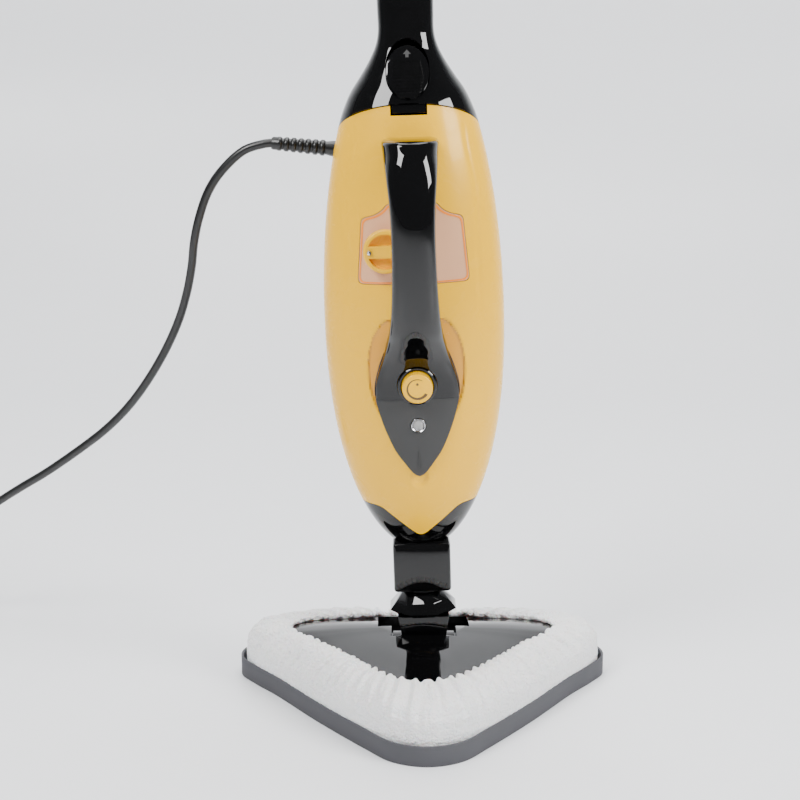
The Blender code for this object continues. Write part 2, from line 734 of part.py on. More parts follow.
def make_case_screws(hang):
    """Build the three screws that close the shells."""
    for number, (x, z) in enumerate(SCREW_PLACES):
        profile = [(0.0, 0.0), (0.0030, 0.0), (0.0030, -0.0025), (0.0015, -0.0025),
                   (0.0015, -0.0160), (0.0, -0.0160)]
        screw = lathe(f"case_screw_{number + 1}", profile, (x, -front_y(x, z) - 0.0008, z),
                      (-math.pi / 2, 0.0, 0.0), steps=12)
        keep(screw, "steel", hang)


def make_top_plug(hang):
    """Build the plate that closes the body's top, with the peg that the pole slides over."""
    profile = [(0.0, 0.5050), (0.0110, 0.5050), (0.0125, 0.5030), (0.0125, 0.4495),
               (0.0500, 0.4495), (0.0510, 0.4465), (0.0, 0.4465)]
    keep(lathe("top_plug", profile, flat=BODY_HALF_DEPTH / BODY_HALF_WIDTH), "satin_black", hang)


def make_neck_socket(hang):
    """Build the square neck that drops over the lower neck's peg."""
    height = NECK_HIGH - NECK_LOW
    middle = (NECK_HIGH + NECK_LOW) / 2
    size = (2 * NECK_HALF_WIDTH, 2 * NECK_HALF_DEPTH, height)
    neck = keep(box("neck_socket", size, (0.0, 0.0, middle), bevel=0.0025), "gloss_black", hang)
    bore = cylinder("neck_bore", 0.0114, 0.2, (0.0, 0.0, middle), sides=32)
    pocket = box("button_pocket", (0.0128, 0.012, 0.0168), (0.0, NECK_HALF_DEPTH, 0.1100))
    return cut(neck, cutter(bore, hang), cutter(pocket, hang))


def grip_ring(height, half_width, front, back, grow):
    """Return one soft-cornered section of the grip."""
    middle, deep = (front + back) / 2, (back - front) / 2 + grow
    wide = half_width + grow
    ring = []
    for i in range(18):
        angle = 2 * math.pi * i / 18
        c, s = math.cos(angle), math.sin(angle)
        ring.append((wide * math.copysign(abs(c) ** 0.8, c),
                     middle + deep * math.copysign(abs(s) ** 0.8, s), height))
    return ring


def grip_solid(name, grow):
    """Skin the grip: a bar that stands off the body, with both ends turned back to it."""
    stations = [
        # height, half width, front, back
        (0.2840, 0.0245, -0.0615, -0.0400), (0.2920, 0.0240, -0.0680, -0.0400),
        (0.3020, 0.0222, -0.0765, -0.0420), (0.3130, 0.0198, -0.0850, -0.0600),
        (0.3280, 0.0180, -0.0935, -0.0720), (0.3500, 0.0168, -0.1005, -0.0780),
        (0.3800, 0.0162, -0.1040, -0.0800), (0.4050, 0.0168, -0.1035, -0.0790),
        (0.4240, 0.0183, -0.1005, -0.0740), (0.4350, 0.0195, -0.0975, -0.0560),
        (0.4430, 0.0205, -0.0945, -0.0330), (0.4500, 0.0212, -0.0900, -0.0300),
    ]
    smooth = through([(h, w, f) for h, w, f, _ in stations], closed=False, per_span=1)
    backs = through([(h, b, 0.0) for h, _, _, b in stations], closed=False, per_span=1)
    rings = [grip_ring(s.x, s.y, s.z, b.y, grow) for s, b in zip(smooth, backs)]
    top = rings[-1]
    rings.append([(x * 0.93, y * 0.985 - 0.0008, z + 0.0022) for x, y, z in top])
    return loft(name, rings)


def make_grip(hang):
    """Build the black grip and the control plate below it."""
    grip = keep(grip_solid("front_grip", 0.0), "gloss_black", hang)
    cut(grip, cutter(body_solid("grip_seat", GAP), hang))
    plate = body_skin("control_plate", PLATE_THICKNESS, GAP)
    keep(plate, "satin_black", hang)
    combine(plate, cutter(prism("plate_region", plate_outline(0.0), -0.1, 0.0, "Y"), hang),
            "INTERSECT")
    cut(plate, cutter(grip_solid("grip_grown", GAP), hang), shaft_hole(hang), lamp_hole(hang))


def make_window(hang):
    """Build the see-through window and the water tank behind it."""
    pane = keep(body_skin("tank_window", -0.0002, -WALL), "amber", hang)
    combine(pane, cutter(prism("pane_region", window_outline(0.0), -0.1, 0.0, "Y"), hang),
            "INTERSECT")
    tank = keep(body_solid("water_tank", -WALL - GAP), "amber", hang)
    combine(tank, cutter(tank_room("tank_region", 0.0), hang), "INTERSECT")
    hollow = cutter(body_solid("tank_hollow", -WALL - GAP - TANK_WALL), hang)
    combine(hollow, cutter(tank_room("hollow_region", TANK_WALL), hang), "INTERSECT")
    mouth = cutter(cylinder("filler_mouth", SPOUT_RADIUS + GAP, 0.040,
                            (CAP_X, -0.050, CAP_Z), "Y"), hang)
    cut(pane, mouth)
    cut(tank, hollow, mouth)
    face = front_y(CAP_X, CAP_Z)
    spout = lathe("filler_spout", [(SPOUT_RADIUS, 0.0), (SPOUT_RADIUS, -0.013),
                                   (SPOUT_RADIUS - 0.0016, -0.013), (SPOUT_RADIUS - 0.0016, 0.0)],
                  (CAP_X, face - 0.0035, CAP_Z), (math.pi / 2, 0.0, 0.0), closed=True)
    keep(spout, "amber", hang)


def tank_room(name, wall):
    """Return the block that bounds the tank, or its inside when a wall is given."""
    half = TANK_HALF_WIDTH - wall
    low, high = TANK_LOW + wall, TANK_HIGH - wall
    back = TANK_BACK - wall
    return box(name, (2 * half, 0.10, high - low), (0.0, back - 0.05, (low + high) / 2))


def make_cap(hang):
    """Build the filler cap and the rivet on its bar."""
    face = front_y(CAP_X, CAP_Z) - 0.0040
    place = Vector((CAP_X, face, CAP_Z))
    profile = [(0.0, CAP_THICKNESS), (CAP_RADIUS - 0.0012, CAP_THICKNESS),
               (CAP_RADIUS, CAP_THICKNESS - 0.0012), (CAP_RADIUS, 0.0), (0.0, 0.0)]
    cap = keep(lathe("filler_cap", profile, place, (math.pi / 2, 0.0, 0.0)), "yellow", hang)
    for side in (-1, 1):
        moon = moon_outline(side)
        deep = prism(f"cap_moon_{side + 1}", [(x + CAP_X, z + CAP_Z) for x, z in moon],
                     face - CAP_THICKNESS - 0.01, face - CAP_THICKNESS + 0.0055, "Y")
        cut(cap, cutter(deep, hang))
    ball = lathe("cap_rivet", [(0.0, 0.0022), (0.0016, 0.0014), (0.0022, 0.0), (0.0, 0.0)],
                 (CAP_X - CAP_RADIUS * 0.72, face - CAP_THICKNESS - GAP, CAP_Z),
                 (math.pi / 2, 0.0, 0.0), steps=12)
    keep(ball, "steel", hang)


def moon_outline(side):
    """Return one of the cap's two half-moon recesses, above or below its bar."""
    radius = CAP_RADIUS - 0.0030
    start, end = (20.0, 160.0) if side > 0 else (200.0, 340.0)
    return arc_points((0.0, 0.0), radius, start, end, 12)


def make_inside(hang):
    """Build what works inside: pump, hoses, boiler, its guards and the control board."""
    boiler = box("boiler", (0.052, 0.044, 0.056), (0.0, 0.002, 0.2070), bevel=0.004)
    keep(boiler, "aluminium", hang)
    lid = keep(box("boiler_lid", (0.048, 0.040, 0.0024), (0.0, 0.002, 0.2367)), "aluminium", hang)
    for x in (-0.020, 0.020):
        for y in (-0.014, 0.018):
            bolt = cylinder(f"lid_bolt_{x > 0}_{y > 0}", 0.0025, 0.005, (x, y, 0.2390), sides=6)
            combine(lid, cutter(bolt, hang), "UNION")
    keep(cylinder("thermostat", 0.010, 0.006, (0.0, 0.0275, 0.2150), "Y"), "ivory", hang)
    keep(cylinder("pump", 0.016, 0.060, (0.024, 0.018, 0.2900)), "ivory", hang)
    keep(box("pump_mount", (0.014, 0.0045, 0.044), (0.024, 0.0367, 0.290)), "rubber", hang)
    keep(box("control_board", (0.048, 0.0016, 0.060), (0.0, -0.0290, 0.2680)), "board", hang)
    inlet = [(0.024, -0.020, TANK_LOW - GAP), (0.024, -0.019, 0.3310), (0.024, -0.010, 0.3280),
             (0.024, 0.006, 0.3275), (0.024, 0.0155, 0.3262), (0.024, 0.018, 0.3230),
             (0.024, 0.018, 0.3205)]
    keep(tube("inlet_hose", through(inlet, False, 3), 0.0025), "silicone", hang)
    outlet = [(0.024, 0.018, 0.2590), (0.024, 0.018, 0.2560), (0.021, 0.014, 0.2520), (0.012, 0.006, 0.2490),
              (0.004, 0.002, 0.2450), (0.002, 0.002, 0.2384)]
    keep(tube("pressure_hose", through(outlet, False, 3), 0.0025), "silicone", hang)
    nozzle = [(0.0, 0.1786), (0.0090, 0.1786), (0.0090, 0.1740), (0.0045, 0.1740),
              (0.0045, 0.1140), (0.0, 0.1140)]
    keep(lathe("steam_nozzle", nozzle, steps=20), "brass", hang)


def make_knob(hang, knob_axis):
    """Build the steam knob and shaft on their axis, with the collar it turns in."""
    tilt = math.radians(KNOB_TILT)
    turn = (math.pi / 2 + tilt, 0.0, 0.0)
    seat = knob_seat()
    rim = [(KNOB_RADIUS + 0.0026, 0.0030), (KNOB_RADIUS + 0.0032, 0.0022),
           (KNOB_RADIUS + 0.0032, 0.0), (KNOB_RADIUS + GAP, 0.0), (KNOB_RADIUS + GAP, 0.0030)]
    keep(lathe("knob_collar", rim, seat, turn, closed=True), "gloss_black", hang)
    profile = [(0.0, KNOB_DEPTH), (KNOB_RADIUS - 0.0010, KNOB_DEPTH),
               (KNOB_RADIUS - 0.0002, KNOB_DEPTH - 0.0010), (KNOB_RADIUS, 0.0004), (0.0, 0.0004)]
    knob = lathe("steam_knob", profile, seat, turn, steps=36)
    keep(knob, "yellow", knob_axis)
    shaft = cylinder("knob_shaft", 0.0030, 0.0220, (0.0, 0.0, 0.0), sides=16)
    shaft.location = seat - Vector((0.0, -math.cos(tilt), -math.sin(tilt))) * 0.0111
    shaft.rotation_euler = turn
    keep(shaft, "steel", knob_axis)


def knob_seat():
    """Return the point on the control plate where the knob's axis meets it."""
    return Vector((0.0, front_y(0.0, KNOB_Z, PLATE_THICKNESS) - 0.0016, KNOB_Z))


def make_lamp(hang):
    """Build the lamp's chrome ring and its clear lens."""
    face = front_y(0.0, LAMP_Z, PLATE_THICKNESS)
    turn = (math.pi / 2, 0.0, 0.0)
    ring = [(LAMP_RADIUS, 0.0008), (LAMP_RADIUS, -0.0080), (LAMP_RADIUS - 0.0010, -0.0080),
            (LAMP_RADIUS - 0.0010, 0.0008)]
    keep(lathe("lamp_ring", ring, (0.0, face, LAMP_Z), turn, steps=24, closed=True), "steel", hang)
    radius = LAMP_RADIUS - 0.0010 - GAP
    lens = [(0.0, 0.0020), (radius * 0.6, 0.0014), (radius, 0.0002), (radius, -0.0080),
            (0.0, -0.0080)]
    keep(lathe("lamp_lens", lens, (0.0, face, LAMP_Z), turn, steps=24), "clear", hang)


# ---------------------------------------------------------------- connector and pole

CONNECTOR_SIDE = [
    (0.0214, CONNECTOR_TOP), (0.0214, 0.5700), (0.0212, 0.5450), (0.0211, 0.5290),
    (0.0234, 0.5180), (0.0287, 0.5069), (0.0357, 0.4957), (0.0432, 0.4845),
    (0.0486, 0.4732), (0.0526, 0.4619), (0.0551, 0.4500), (0.0570, 0.4300),
]


def connector_side(grow):
    """Return the connector's side profile, top to bottom, moved out by a distance."""
    points = through([(r, z, 0.0) for r, z in CONNECTOR_SIDE], closed=False, per_span=1)
    return [(p.x + grow, p.y) for p in points]


def panel_outline():
    """Return the front view of the connector's panel, a trumpet with a rounded tip."""
    half = [(0.0450, 0.4500), (0.0400, 0.4775), (0.0222, 0.5015), (0.0150, 0.5125),
            (0.0112, 0.5240), (0.0098, 0.5340), (0.0046, 0.5440)]
    return half + [(-x, z) for x, z in reversed(half)]


def tilt_on_connector(item):
    """Lay a piece built round the origin on the connector's sloping front."""
    lay = Matrix.Rotation(math.radians(-BUTTON_TILT), 4, "X")
    item.matrix_world = Matrix.Translation((0.0, BUTTON_Y, BUTTON_Z)) @ lay @ item.matrix_world
    return item


def oval(half_width, half_height, travel=0.0):
    """Return an oval outline, its upper half moved up by a travel."""
    outline = []
    for angle in (2 * math.pi * (i + 0.5) / 28 for i in range(28)):
        lift = travel if math.sin(angle) > 0 else 0.0
        outline.append((half_width * math.cos(angle), lift + half_height * math.sin(angle)))
    return outline


def make_connector(hang):
    """Build the trumpet that drops over the body's top, its panel and its latch button."""
    outer = connector_side(0.0)
    inner = [(r, z) for r, z in connector_side(-WALL) if z < 0.523]
    profile = [(0.0, CONNECTOR_TOP)] + outer + inner[::-1] + [(0.0, 0.5260)]
    below = cutter(prism("below_arch", arch_outline(GAP, False), -0.1, 0.1, "X"), hang)
    hole = oval(BUTTON_HALF_WIDTH + GAP, BUTTON_HALF_HEIGHT + GAP, BUTTON_TRAVEL + GAP)
    opening = prism("button_opening", hole, -0.012, 0.014, "Y")
    opening = cutter(tilt_on_connector(opening), hang)
    body = keep(lathe("trumpet_connector", profile, flat=CONNECTOR_DEPTH_RATIO, steps=32),
                "gloss_black", hang)
    bore = cutter(cylinder("tube_bore", TUBE_RADIUS + GAP, 0.20, (0.0, 0.0, 0.6305), sides=32), hang)
    cut(body, below, bore, latch_slot(hang), opening)
    skin = connector_side(0.0015) + connector_side(GAP)[::-1]
    panel = keep(lathe("connector_panel", skin, flat=CONNECTOR_DEPTH_RATIO, steps=32, closed=True),
                 "gloss_black", hang)
    region = cutter(prism("panel_region", panel_outline(), -0.1, 0.0, "Y"), hang)
    combine(panel, region, "INTERSECT")
    cut(panel, below, opening)


def make_latch(hang, button_axis):
    """Build the sliding latch button with its tongue, and the spring behind it."""
    button = prism("latch_button", oval(BUTTON_HALF_WIDTH, BUTTON_HALF_HEIGHT),
                   -0.0038, 0.0055, "Y")
    keep(tilt_on_connector(button), "gloss_black", button_axis)
    tongue = box("latch_tongue", (0.0250, 0.0025, 0.0160), (0.0, 0.00425, -0.0215))
    bpy.context.view_layer.update()
    combine(button, cutter(tilt_on_connector(tongue), button_axis), "UNION")
    spring = tube("latch_spring", helix(0.0026, 0.014, 5, (0.0, 0.0105, 0.0)), 0.0004, 0)
    bpy.context.view_layer.update()
    keep(tilt_on_connector(spring), "steel", hang)


def helix(radius, length, turns, centre):
    """List points of a coil spring that stands along Z, centred on a point."""
    count = turns * 8
    return [(centre[0] + radius * math.cos(i * math.pi / 4),
             centre[1] + radius * math.sin(i * math.pi / 4),
             centre[2] + length * (i / count - 0.5)) for i in range(count + 1)]


def make_lower_tube(hang):
    """Build the pole's lower tube, its coupler and the fixed cord hook."""
    low, high = 0.5309, TUBE_JOINT_Z
    tube_wall = [(TUBE_RADIUS, high), (TUBE_RADIUS, low), (TUBE_RADIUS - TUBE_WALL, low),
                 (TUBE_RADIUS - TUBE_WALL, high)]
    lower = keep(lathe("lower_tube", tube_wall, closed=True), "black_tube", hang)
    sleeve = [(0.0150, high + 0.0160), (0.0160, high + 0.0140), (0.0160, high - 0.0360),
              (0.0150, high - 0.0380), (TUBE_RADIUS + GAP, high - 0.0380),
              (TUBE_RADIUS + GAP, high + 0.0160)]
    coupler = keep(lathe("tube_coupler", sleeve, closed=True), "gloss_black", hang)
    hole = cutter(cylinder("snap_hole", 0.0034, 0.03, (0.0, 0.015, high - 0.020), "Y", 16), hang)
    cut(lower, hole)
    cut(coupler, hole)
    make_hook("cord_hook_lower", 0.6200, -1, hang)


def make_hook(name, height, way, hang):
    """Build a clip on the pole with an arm and a lip that the cord winds on."""
    inner, outer = TUBE_RADIUS + GAP, 0.0160
    band = lathe(name, [(outer, 0.0090), (outer, -0.0090), (inner, -0.0090), (inner, 0.0090)],
                 (0.0, 0.0, height), closed=True)
    keep(band, "gloss_black", hang)
    arm = box(name + "_arm", (0.012, 0.034, 0.006), (0.0, 0.0315, height - way * 0.0058))
    lip = box(name + "_lip", (0.012, 0.005, 0.030), (0.0, 0.0460, height + way * 0.0062))
    combine(band, cutter(arm, hang), "UNION")
    combine(band, cutter(lip, hang), "UNION")
    return band


def make_upper_tube(hang):
    """Build the pole's upper tube with its top handle."""
    joint, top = TUBE_JOINT_Z + GAP, TUBE_TOP_Z + 0.003
    plug, plug_low = TUBE_RADIUS - TUBE_WALL - GAP, TUBE_JOINT_Z - 0.050
    inner = plug - TUBE_WALL
    profile = [(TUBE_RADIUS, top), (TUBE_RADIUS, joint), (plug, joint), (plug, plug_low),
               (inner, plug_low), (inner, top)]
    upper = keep(lathe("upper_tube", profile, closed=True), "black_tube", hang)
    cut(upper, cutter(cylinder("snap_bore", 0.0034, 0.03, (0.0, 0.015, TUBE_JOINT_Z - 0.020),
                               "Y", 16), hang))
    side = [(0.0, HANDLE_TOP_Z), (0.0120, HANDLE_TOP_Z - 0.0015), (0.0165, HANDLE_TOP_Z - 0.008),
            (0.0184, HANDLE_TOP_Z - 0.022), (0.0172, HANDLE_TOP_Z - 0.040),
            (0.0148, HANDLE_TOP_Z - 0.042), (0.0148, TUBE_TOP_Z + 0.018),
            (0.0174, TUBE_TOP_Z + 0.016), (0.0164, TUBE_TOP_Z), (0.0150, TUBE_TOP_Z - 0.018),
            (TUBE_RADIUS + GAP, TUBE_TOP_Z - 0.018), (TUBE_RADIUS + GAP, TUBE_TOP_Z + 0.0036),
            (0.0, TUBE_TOP_Z + 0.0036)]
    handle = keep(lathe("top_handle", side), "gloss_black", hang)
    cut(handle, cutter(cylinder("hanging_hole", 0.004, 0.06, (0.0, 0.0, HANDLE_TOP_Z - 0.016), "Y"),
                       hang))
    low, high = TUBE_TOP_Z + 0.018 + GAP, HANDLE_TOP_Z - 0.042 - GAP
    sleeve = [(0.0168, high), (0.0182, (low + high) / 2 + 0.015), (0.0182, (low + high) / 2 - 0.015),
              (0.0170, low), (0.0148 + GAP, low), (0.0148 + GAP, high)]
    keep(lathe("grip_sleeve", sleeve, closed=True), "rubber", hang)


def make_small_buttons(snap_axis, neck_axis):
    """Build the pole's snap button and the neck's release button."""
    snap = lathe("snap_button", [(0.0, 0.0180), (0.0020, 0.0174), (0.0030, 0.0158),
                                 (0.0030, 0.0072), (0.0, 0.0072)],
                 (0.0, 0.0, TUBE_JOINT_Z - 0.020), (-math.pi / 2, 0.0, 0.0), steps=16)
    keep(snap, "steel", snap_axis)
    button = box("neck_button", (0.0120, 0.0050, 0.0160), (0.0, 0.0192, 0.1100), bevel=0.0010)
    keep(button, "gloss_black", neck_axis)


# ---------------------------------------------------------------- mains cord

def make_cord(hang):
    """Build the strain relief, the loose run of cord, its stored coil and the plug."""
    length = (Vector(RELIEF_END) - Vector(RELIEF_START)).length
    side = [(0.0, length), (0.0046, length), (0.0052, length - 0.002), (RELIEF_RADIUS, 0.014),
            (RELIEF_RADIUS, 0.0), (0.0, 0.0)]
    relief = lathe("strain_relief", side, (RELIEF_START[0], RELIEF_Y, RELIEF_START[1]),
                   relief_turn(), steps=20)
    keep(relief, "rubber", hang)
    run = through(CORD_ROUTE, closed=False, per_span=2)
    keep(tube("cord_run", run, CORD_DIAMETER / 2), "rubber")
    outer, inner = COIL_MID_RADIUS + COIL_HALF_WIDTH, COIL_MID_RADIUS - COIL_HALF_WIDTH
    soft = 0.0035
    coil = [(outer - soft, COIL_HEIGHT), (outer, COIL_HEIGHT - soft), (outer, soft),
            (outer - soft, 0.0), (inner + soft, 0.0), (inner, soft), (inner, COIL_HEIGHT - soft),
            (inner + soft, COIL_HEIGHT)]
    keep(lathe("cord_coil", coil, (*COIL_CENTRE, 0.0), closed=True), "rubber")
    half = CORD_DIAMETER / 2
    tail = [(*COIL_TURN_END, half), ((COIL_TURN_END[0] + PLUG_X) / 2 - 0.0006, 0.2480, half + 0.001),
            (PLUG_X, PLUG_Y - 0.0070, 0.0078), (PLUG_X, PLUG_Y - GAP, 0.0080)]
    keep(tube("cord_tail", through(tail, False, 3), half), "rubber")
    outline = rounded([(PLUG_X - 0.006, PLUG_Y), (PLUG_X + 0.006, PLUG_Y),
                       (PLUG_X + 0.013, PLUG_Y + 0.018), (PLUG_X + 0.013, PLUG_Y + PLUG_LENGTH),
                       (PLUG_X - 0.013, PLUG_Y + PLUG_LENGTH), (PLUG_X - 0.013, PLUG_Y + 0.018)],
                      0.003)
    plug = prism("plug_body", outline, 0.0, 0.0160)
    keep(plug, "rubber")
    for name, x in (("plug_pin_left", -0.0065), ("plug_pin_right", 0.0065)):
        middle = (PLUG_X + x, PLUG_Y + PLUG_LENGTH + GAP + PIN_LENGTH / 2, 0.0080)
        keep(cylinder(name, 0.0020, PIN_LENGTH, middle, "Y", 12), "brass")


# ---------------------------------------------------------------- assembly

def hung_axis(name, place, parent):
    """Make an empty for a joint of the leaning body, placed as if it stood upright."""
    empty = axis_empty(name, place)
    empty.parent = parent
    empty.matrix_parent_inverse = Matrix.Translation(-parent.location)
    return empty


def build_mop():
    """Build every piece on its joint's empty."""
    clear_scene()
    pitch = axis_empty("pitch_axis", Vector((0.0, 0.0, PITCH_Z)))
    lean = (0.0, -math.radians(REST_LEAN), 0.0)
    roll = axis_empty("roll_axis", Vector((0.0, 0.0, ROLL_Z)), lean)
    make_glider()
    make_sole()
    make_dome()
    make_pad()
    make_head_fixings()
    make_swivel(pitch)
    make_lower_neck(roll)
    make_neck_socket(roll)
    make_shells(roll)
    make_case_screws(roll)
    make_top_plug(roll)
    make_grip(roll)
    make_window(roll)
    make_inside(roll)
    make_lamp(roll)
    make_knob(roll, hung_axis("knob_axis", knob_seat(), roll))
    cap_place = Vector((CAP_X, front_y(CAP_X, CAP_Z), CAP_Z))
    make_cap(hung_axis("cap_axis", cap_place, roll))
    make_connector(roll)
    button_place = Vector((0.0, BUTTON_Y, BUTTON_Z))
    make_latch(roll, hung_axis("latch_axis", button_place, roll))
    make_lower_tube(roll)
    make_upper_tube(roll)
    make_hook("cord_hook_upper", 0.9650, 1, hung_axis("hook_axis", Vector((0.0, 0.0, 0.9650)), roll))
    snap_place = Vector((0.0, 0.015, TUBE_JOINT_Z - 0.020))
    neck_place = Vector((0.0, 0.0192, 0.1100))
    make_small_buttons(hung_axis("snap_axis", snap_place, roll),
                       hung_axis("neck_axis", neck_place, roll))
    make_cord(roll)


build_mop()
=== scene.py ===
"""Looks of the steam mop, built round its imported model.

Metres, +Z up. The handheld body and the pole lean a little towards -X, so those pieces are
shaped upright and leaned about the roll pin before their place is fixed in the mesh.
"""
import json
import logging
import math
from dataclasses import dataclass
from enum import Enum
from typing import Callable, Iterable, Optional, Sequence

import bmesh
import bpy
import numpy as np
from mathutils import Matrix, Vector, noise

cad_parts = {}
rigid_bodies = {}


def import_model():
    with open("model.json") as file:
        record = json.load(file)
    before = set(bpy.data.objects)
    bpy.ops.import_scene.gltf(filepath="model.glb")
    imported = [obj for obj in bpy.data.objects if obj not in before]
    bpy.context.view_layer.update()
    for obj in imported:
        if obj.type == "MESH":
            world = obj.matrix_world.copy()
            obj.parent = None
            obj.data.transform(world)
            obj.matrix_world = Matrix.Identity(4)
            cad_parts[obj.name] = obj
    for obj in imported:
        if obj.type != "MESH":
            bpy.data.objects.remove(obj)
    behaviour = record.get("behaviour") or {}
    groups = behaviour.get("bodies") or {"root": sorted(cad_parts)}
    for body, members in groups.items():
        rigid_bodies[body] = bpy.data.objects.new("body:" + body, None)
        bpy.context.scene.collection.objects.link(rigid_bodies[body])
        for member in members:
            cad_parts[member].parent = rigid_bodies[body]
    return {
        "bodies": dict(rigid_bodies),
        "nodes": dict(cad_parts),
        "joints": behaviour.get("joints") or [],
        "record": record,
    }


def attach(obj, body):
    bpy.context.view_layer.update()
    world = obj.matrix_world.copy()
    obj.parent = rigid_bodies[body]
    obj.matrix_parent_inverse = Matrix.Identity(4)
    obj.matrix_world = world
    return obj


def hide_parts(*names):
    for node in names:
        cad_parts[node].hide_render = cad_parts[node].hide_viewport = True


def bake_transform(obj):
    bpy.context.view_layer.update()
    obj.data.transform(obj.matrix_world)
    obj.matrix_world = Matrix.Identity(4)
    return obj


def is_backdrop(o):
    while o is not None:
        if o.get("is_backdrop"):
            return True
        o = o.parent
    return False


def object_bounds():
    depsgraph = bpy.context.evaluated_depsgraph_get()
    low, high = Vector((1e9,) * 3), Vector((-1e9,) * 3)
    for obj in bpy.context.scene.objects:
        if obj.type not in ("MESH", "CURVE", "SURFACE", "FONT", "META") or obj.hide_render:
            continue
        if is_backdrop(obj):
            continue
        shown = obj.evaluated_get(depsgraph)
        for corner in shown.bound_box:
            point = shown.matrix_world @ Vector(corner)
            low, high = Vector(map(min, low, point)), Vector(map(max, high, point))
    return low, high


Point = tuple[float, float, float]
Flat = tuple[float, float]
logging.basicConfig(level=logging.INFO, format="%(message)s")
LOG = logging.getLogger("steam_mop")
ROLL_Z = 0.060              # the roll pin, which the body leans about
PITCH_Z = 0.035             # the pitch pin
LEAN_DEGREES = 1.8
LEAN = Matrix.Translation((0, 0, ROLL_Z)) @ Matrix.Rotation(math.radians(-LEAN_DEGREES), 4, "Y") \
    @ Matrix.Translation((0, 0, -ROLL_Z))
WALL = 0.0025               # every moulded shell
GAP = 0.0004                # between pieces that meet
KNOB_Z = 0.2675
LAMP_Z = 0.2350
SHAFT_HOLE = 0.0039         # radius
LAMP_HOLE = 0.0059          # radius
RELIEF_START = (-0.0450, 0.0250, 0.4381)
RELIEF_END = (-0.1065, 0.0250, 0.4457)
PLATE_RISE = 0.0030         # the control plate, over the body
BEYOND = 0.1                # how far a cutting tool reaches past the body


class Body(Enum):
    """Moving bodies that pieces ride on."""

    GLIDER = "carpet_glider"
    HEAD = "mop_head"
    SWIVEL = "swivel"
    NECK = "lower_neck"
    HANDHELD = "handheld"
    KNOB = "steam_knob"
    CAP = "filler_cap"
    POLE = "pole"
    LATCH = "latch_button"


# ---------------------------------------------------------------- mesh tools

def deselect() -> None:
    """Clear the selection, so that an operator acts on the new piece alone."""
    if bpy.context.object and bpy.context.object.mode != "OBJECT":
        bpy.ops.object.mode_set(mode="OBJECT")
    bpy.ops.object.select_all(action="DESELECT")


def activate(item: bpy.types.Object) -> None:
    """Select one object and make it the active one.

    Args:
        item: The object to select.
    """
    deselect()
    item.select_set(True)
    bpy.context.view_layer.objects.active = item


def fix_place(item: bpy.types.Object) -> None:
    """Put an object's place, turn and scale into its mesh."""
    activate(item)
    bpy.ops.object.transform_apply(location=True, rotation=True, scale=True)


def lean(item: bpy.types.Object) -> bpy.types.Object:
    """Lean an upright piece as the body stands, in its mesh.

    Args:
        item: An upright piece.

    Returns:
        The same object.
    """
    fix_place(item)
    item.data.transform(LEAN)
    return item


def smooth(item: bpy.types.Object, degrees: float = 35.0) -> None:
    """Shade a piece smooth but for edges sharper than an angle."""
    activate(item)
    bpy.ops.object.shade_smooth_by_angle(angle=math.radians(degrees))


def apply_all(item: bpy.types.Object) -> None:
    """Apply every modifier of a piece, first to last.

    Args:
        item: The piece that carries them.
    """
    activate(item)
    for modifier in list(item.modifiers):
        bpy.ops.object.modifier_apply(modifier=modifier.name)


def outward(item: bpy.types.Object) -> None:
    """Merge doubles and turn every face outwards.

    Args:
        item: A closed piece.
    """
    activate(item)
    bpy.ops.object.mode_set(mode="EDIT")
    bpy.ops.mesh.select_all(action="SELECT")
    bpy.ops.mesh.remove_doubles(threshold=1e-6)
    bpy.ops.mesh.normals_make_consistent(inside=False)
    bpy.ops.object.mode_set(mode="OBJECT")


def combine(item: bpy.types.Object, tool: bpy.types.Object, way: str = "DIFFERENCE") -> None:
    """Cut, join or keep the common part of a piece and a tool, and remove the tool.

    Args:
        item: The piece that is kept.
        tool: The object that is used up.
        way: DIFFERENCE, UNION or INTERSECT.
    """
    modifier = item.modifiers.new("boolean", "BOOLEAN")
    modifier.operation, modifier.solver, modifier.object = way, "EXACT", tool
    activate(item)
    bpy.ops.object.modifier_apply(modifier=modifier.name)
    bpy.data.objects.remove(tool, do_unlink=True)


def bevel(item: bpy.types.Object, width: float, segments: int = 3, degrees: float = 40.0) -> None:
    """Round a piece's sharp edges.

    Args:
        item: The piece.
        width: The width of the rounding.
        segments: Its steps.
        degrees: The sharpest angle that stays as it is.
    """
    modifier = item.modifiers.new("bevel", "BEVEL")
    modifier.width, modifier.segments = width, segments
    modifier.limit_method, modifier.angle_limit = "ANGLE", math.radians(degrees)
    modifier.use_clamp_overlap = True
    apply_all(item)


def from_rings(name: str, rings: Sequence[Sequence[Point]], closed: bool = False) -> bpy.types.Object:
    """Skin a row of rings with quads.

    Args:
        name: The piece's name.
        rings: Rings of equally many points.
        closed: Join the last ring to the first, and cap neither end.

    Returns:
        The new object.
    """
    bm = bmesh.new()
    rows = [[bm.verts.new(p) for p in ring] for ring in rings]
    count = len(rows[0])
    pairs = list(zip(rows, rows[1:])) + ([(rows[-1], rows[0])] if closed else [])
    for low, high in pairs:
        for i in range(count):
            j = (i + 1) % count
            bm.faces.new((low[i], low[j], high[j], high[i]))
    if not closed:
        bm.faces.new(rows[0][::-1])
        bm.faces.new(rows[-1])
    bmesh.ops.recalc_face_normals(bm, faces=bm.faces[:])
    data = bpy.data.meshes.new(name)
    bm.to_mesh(data)
    bm.free()
    item = bpy.data.objects.new(name, data)
    bpy.context.scene.collection.objects.link(item)
    return item


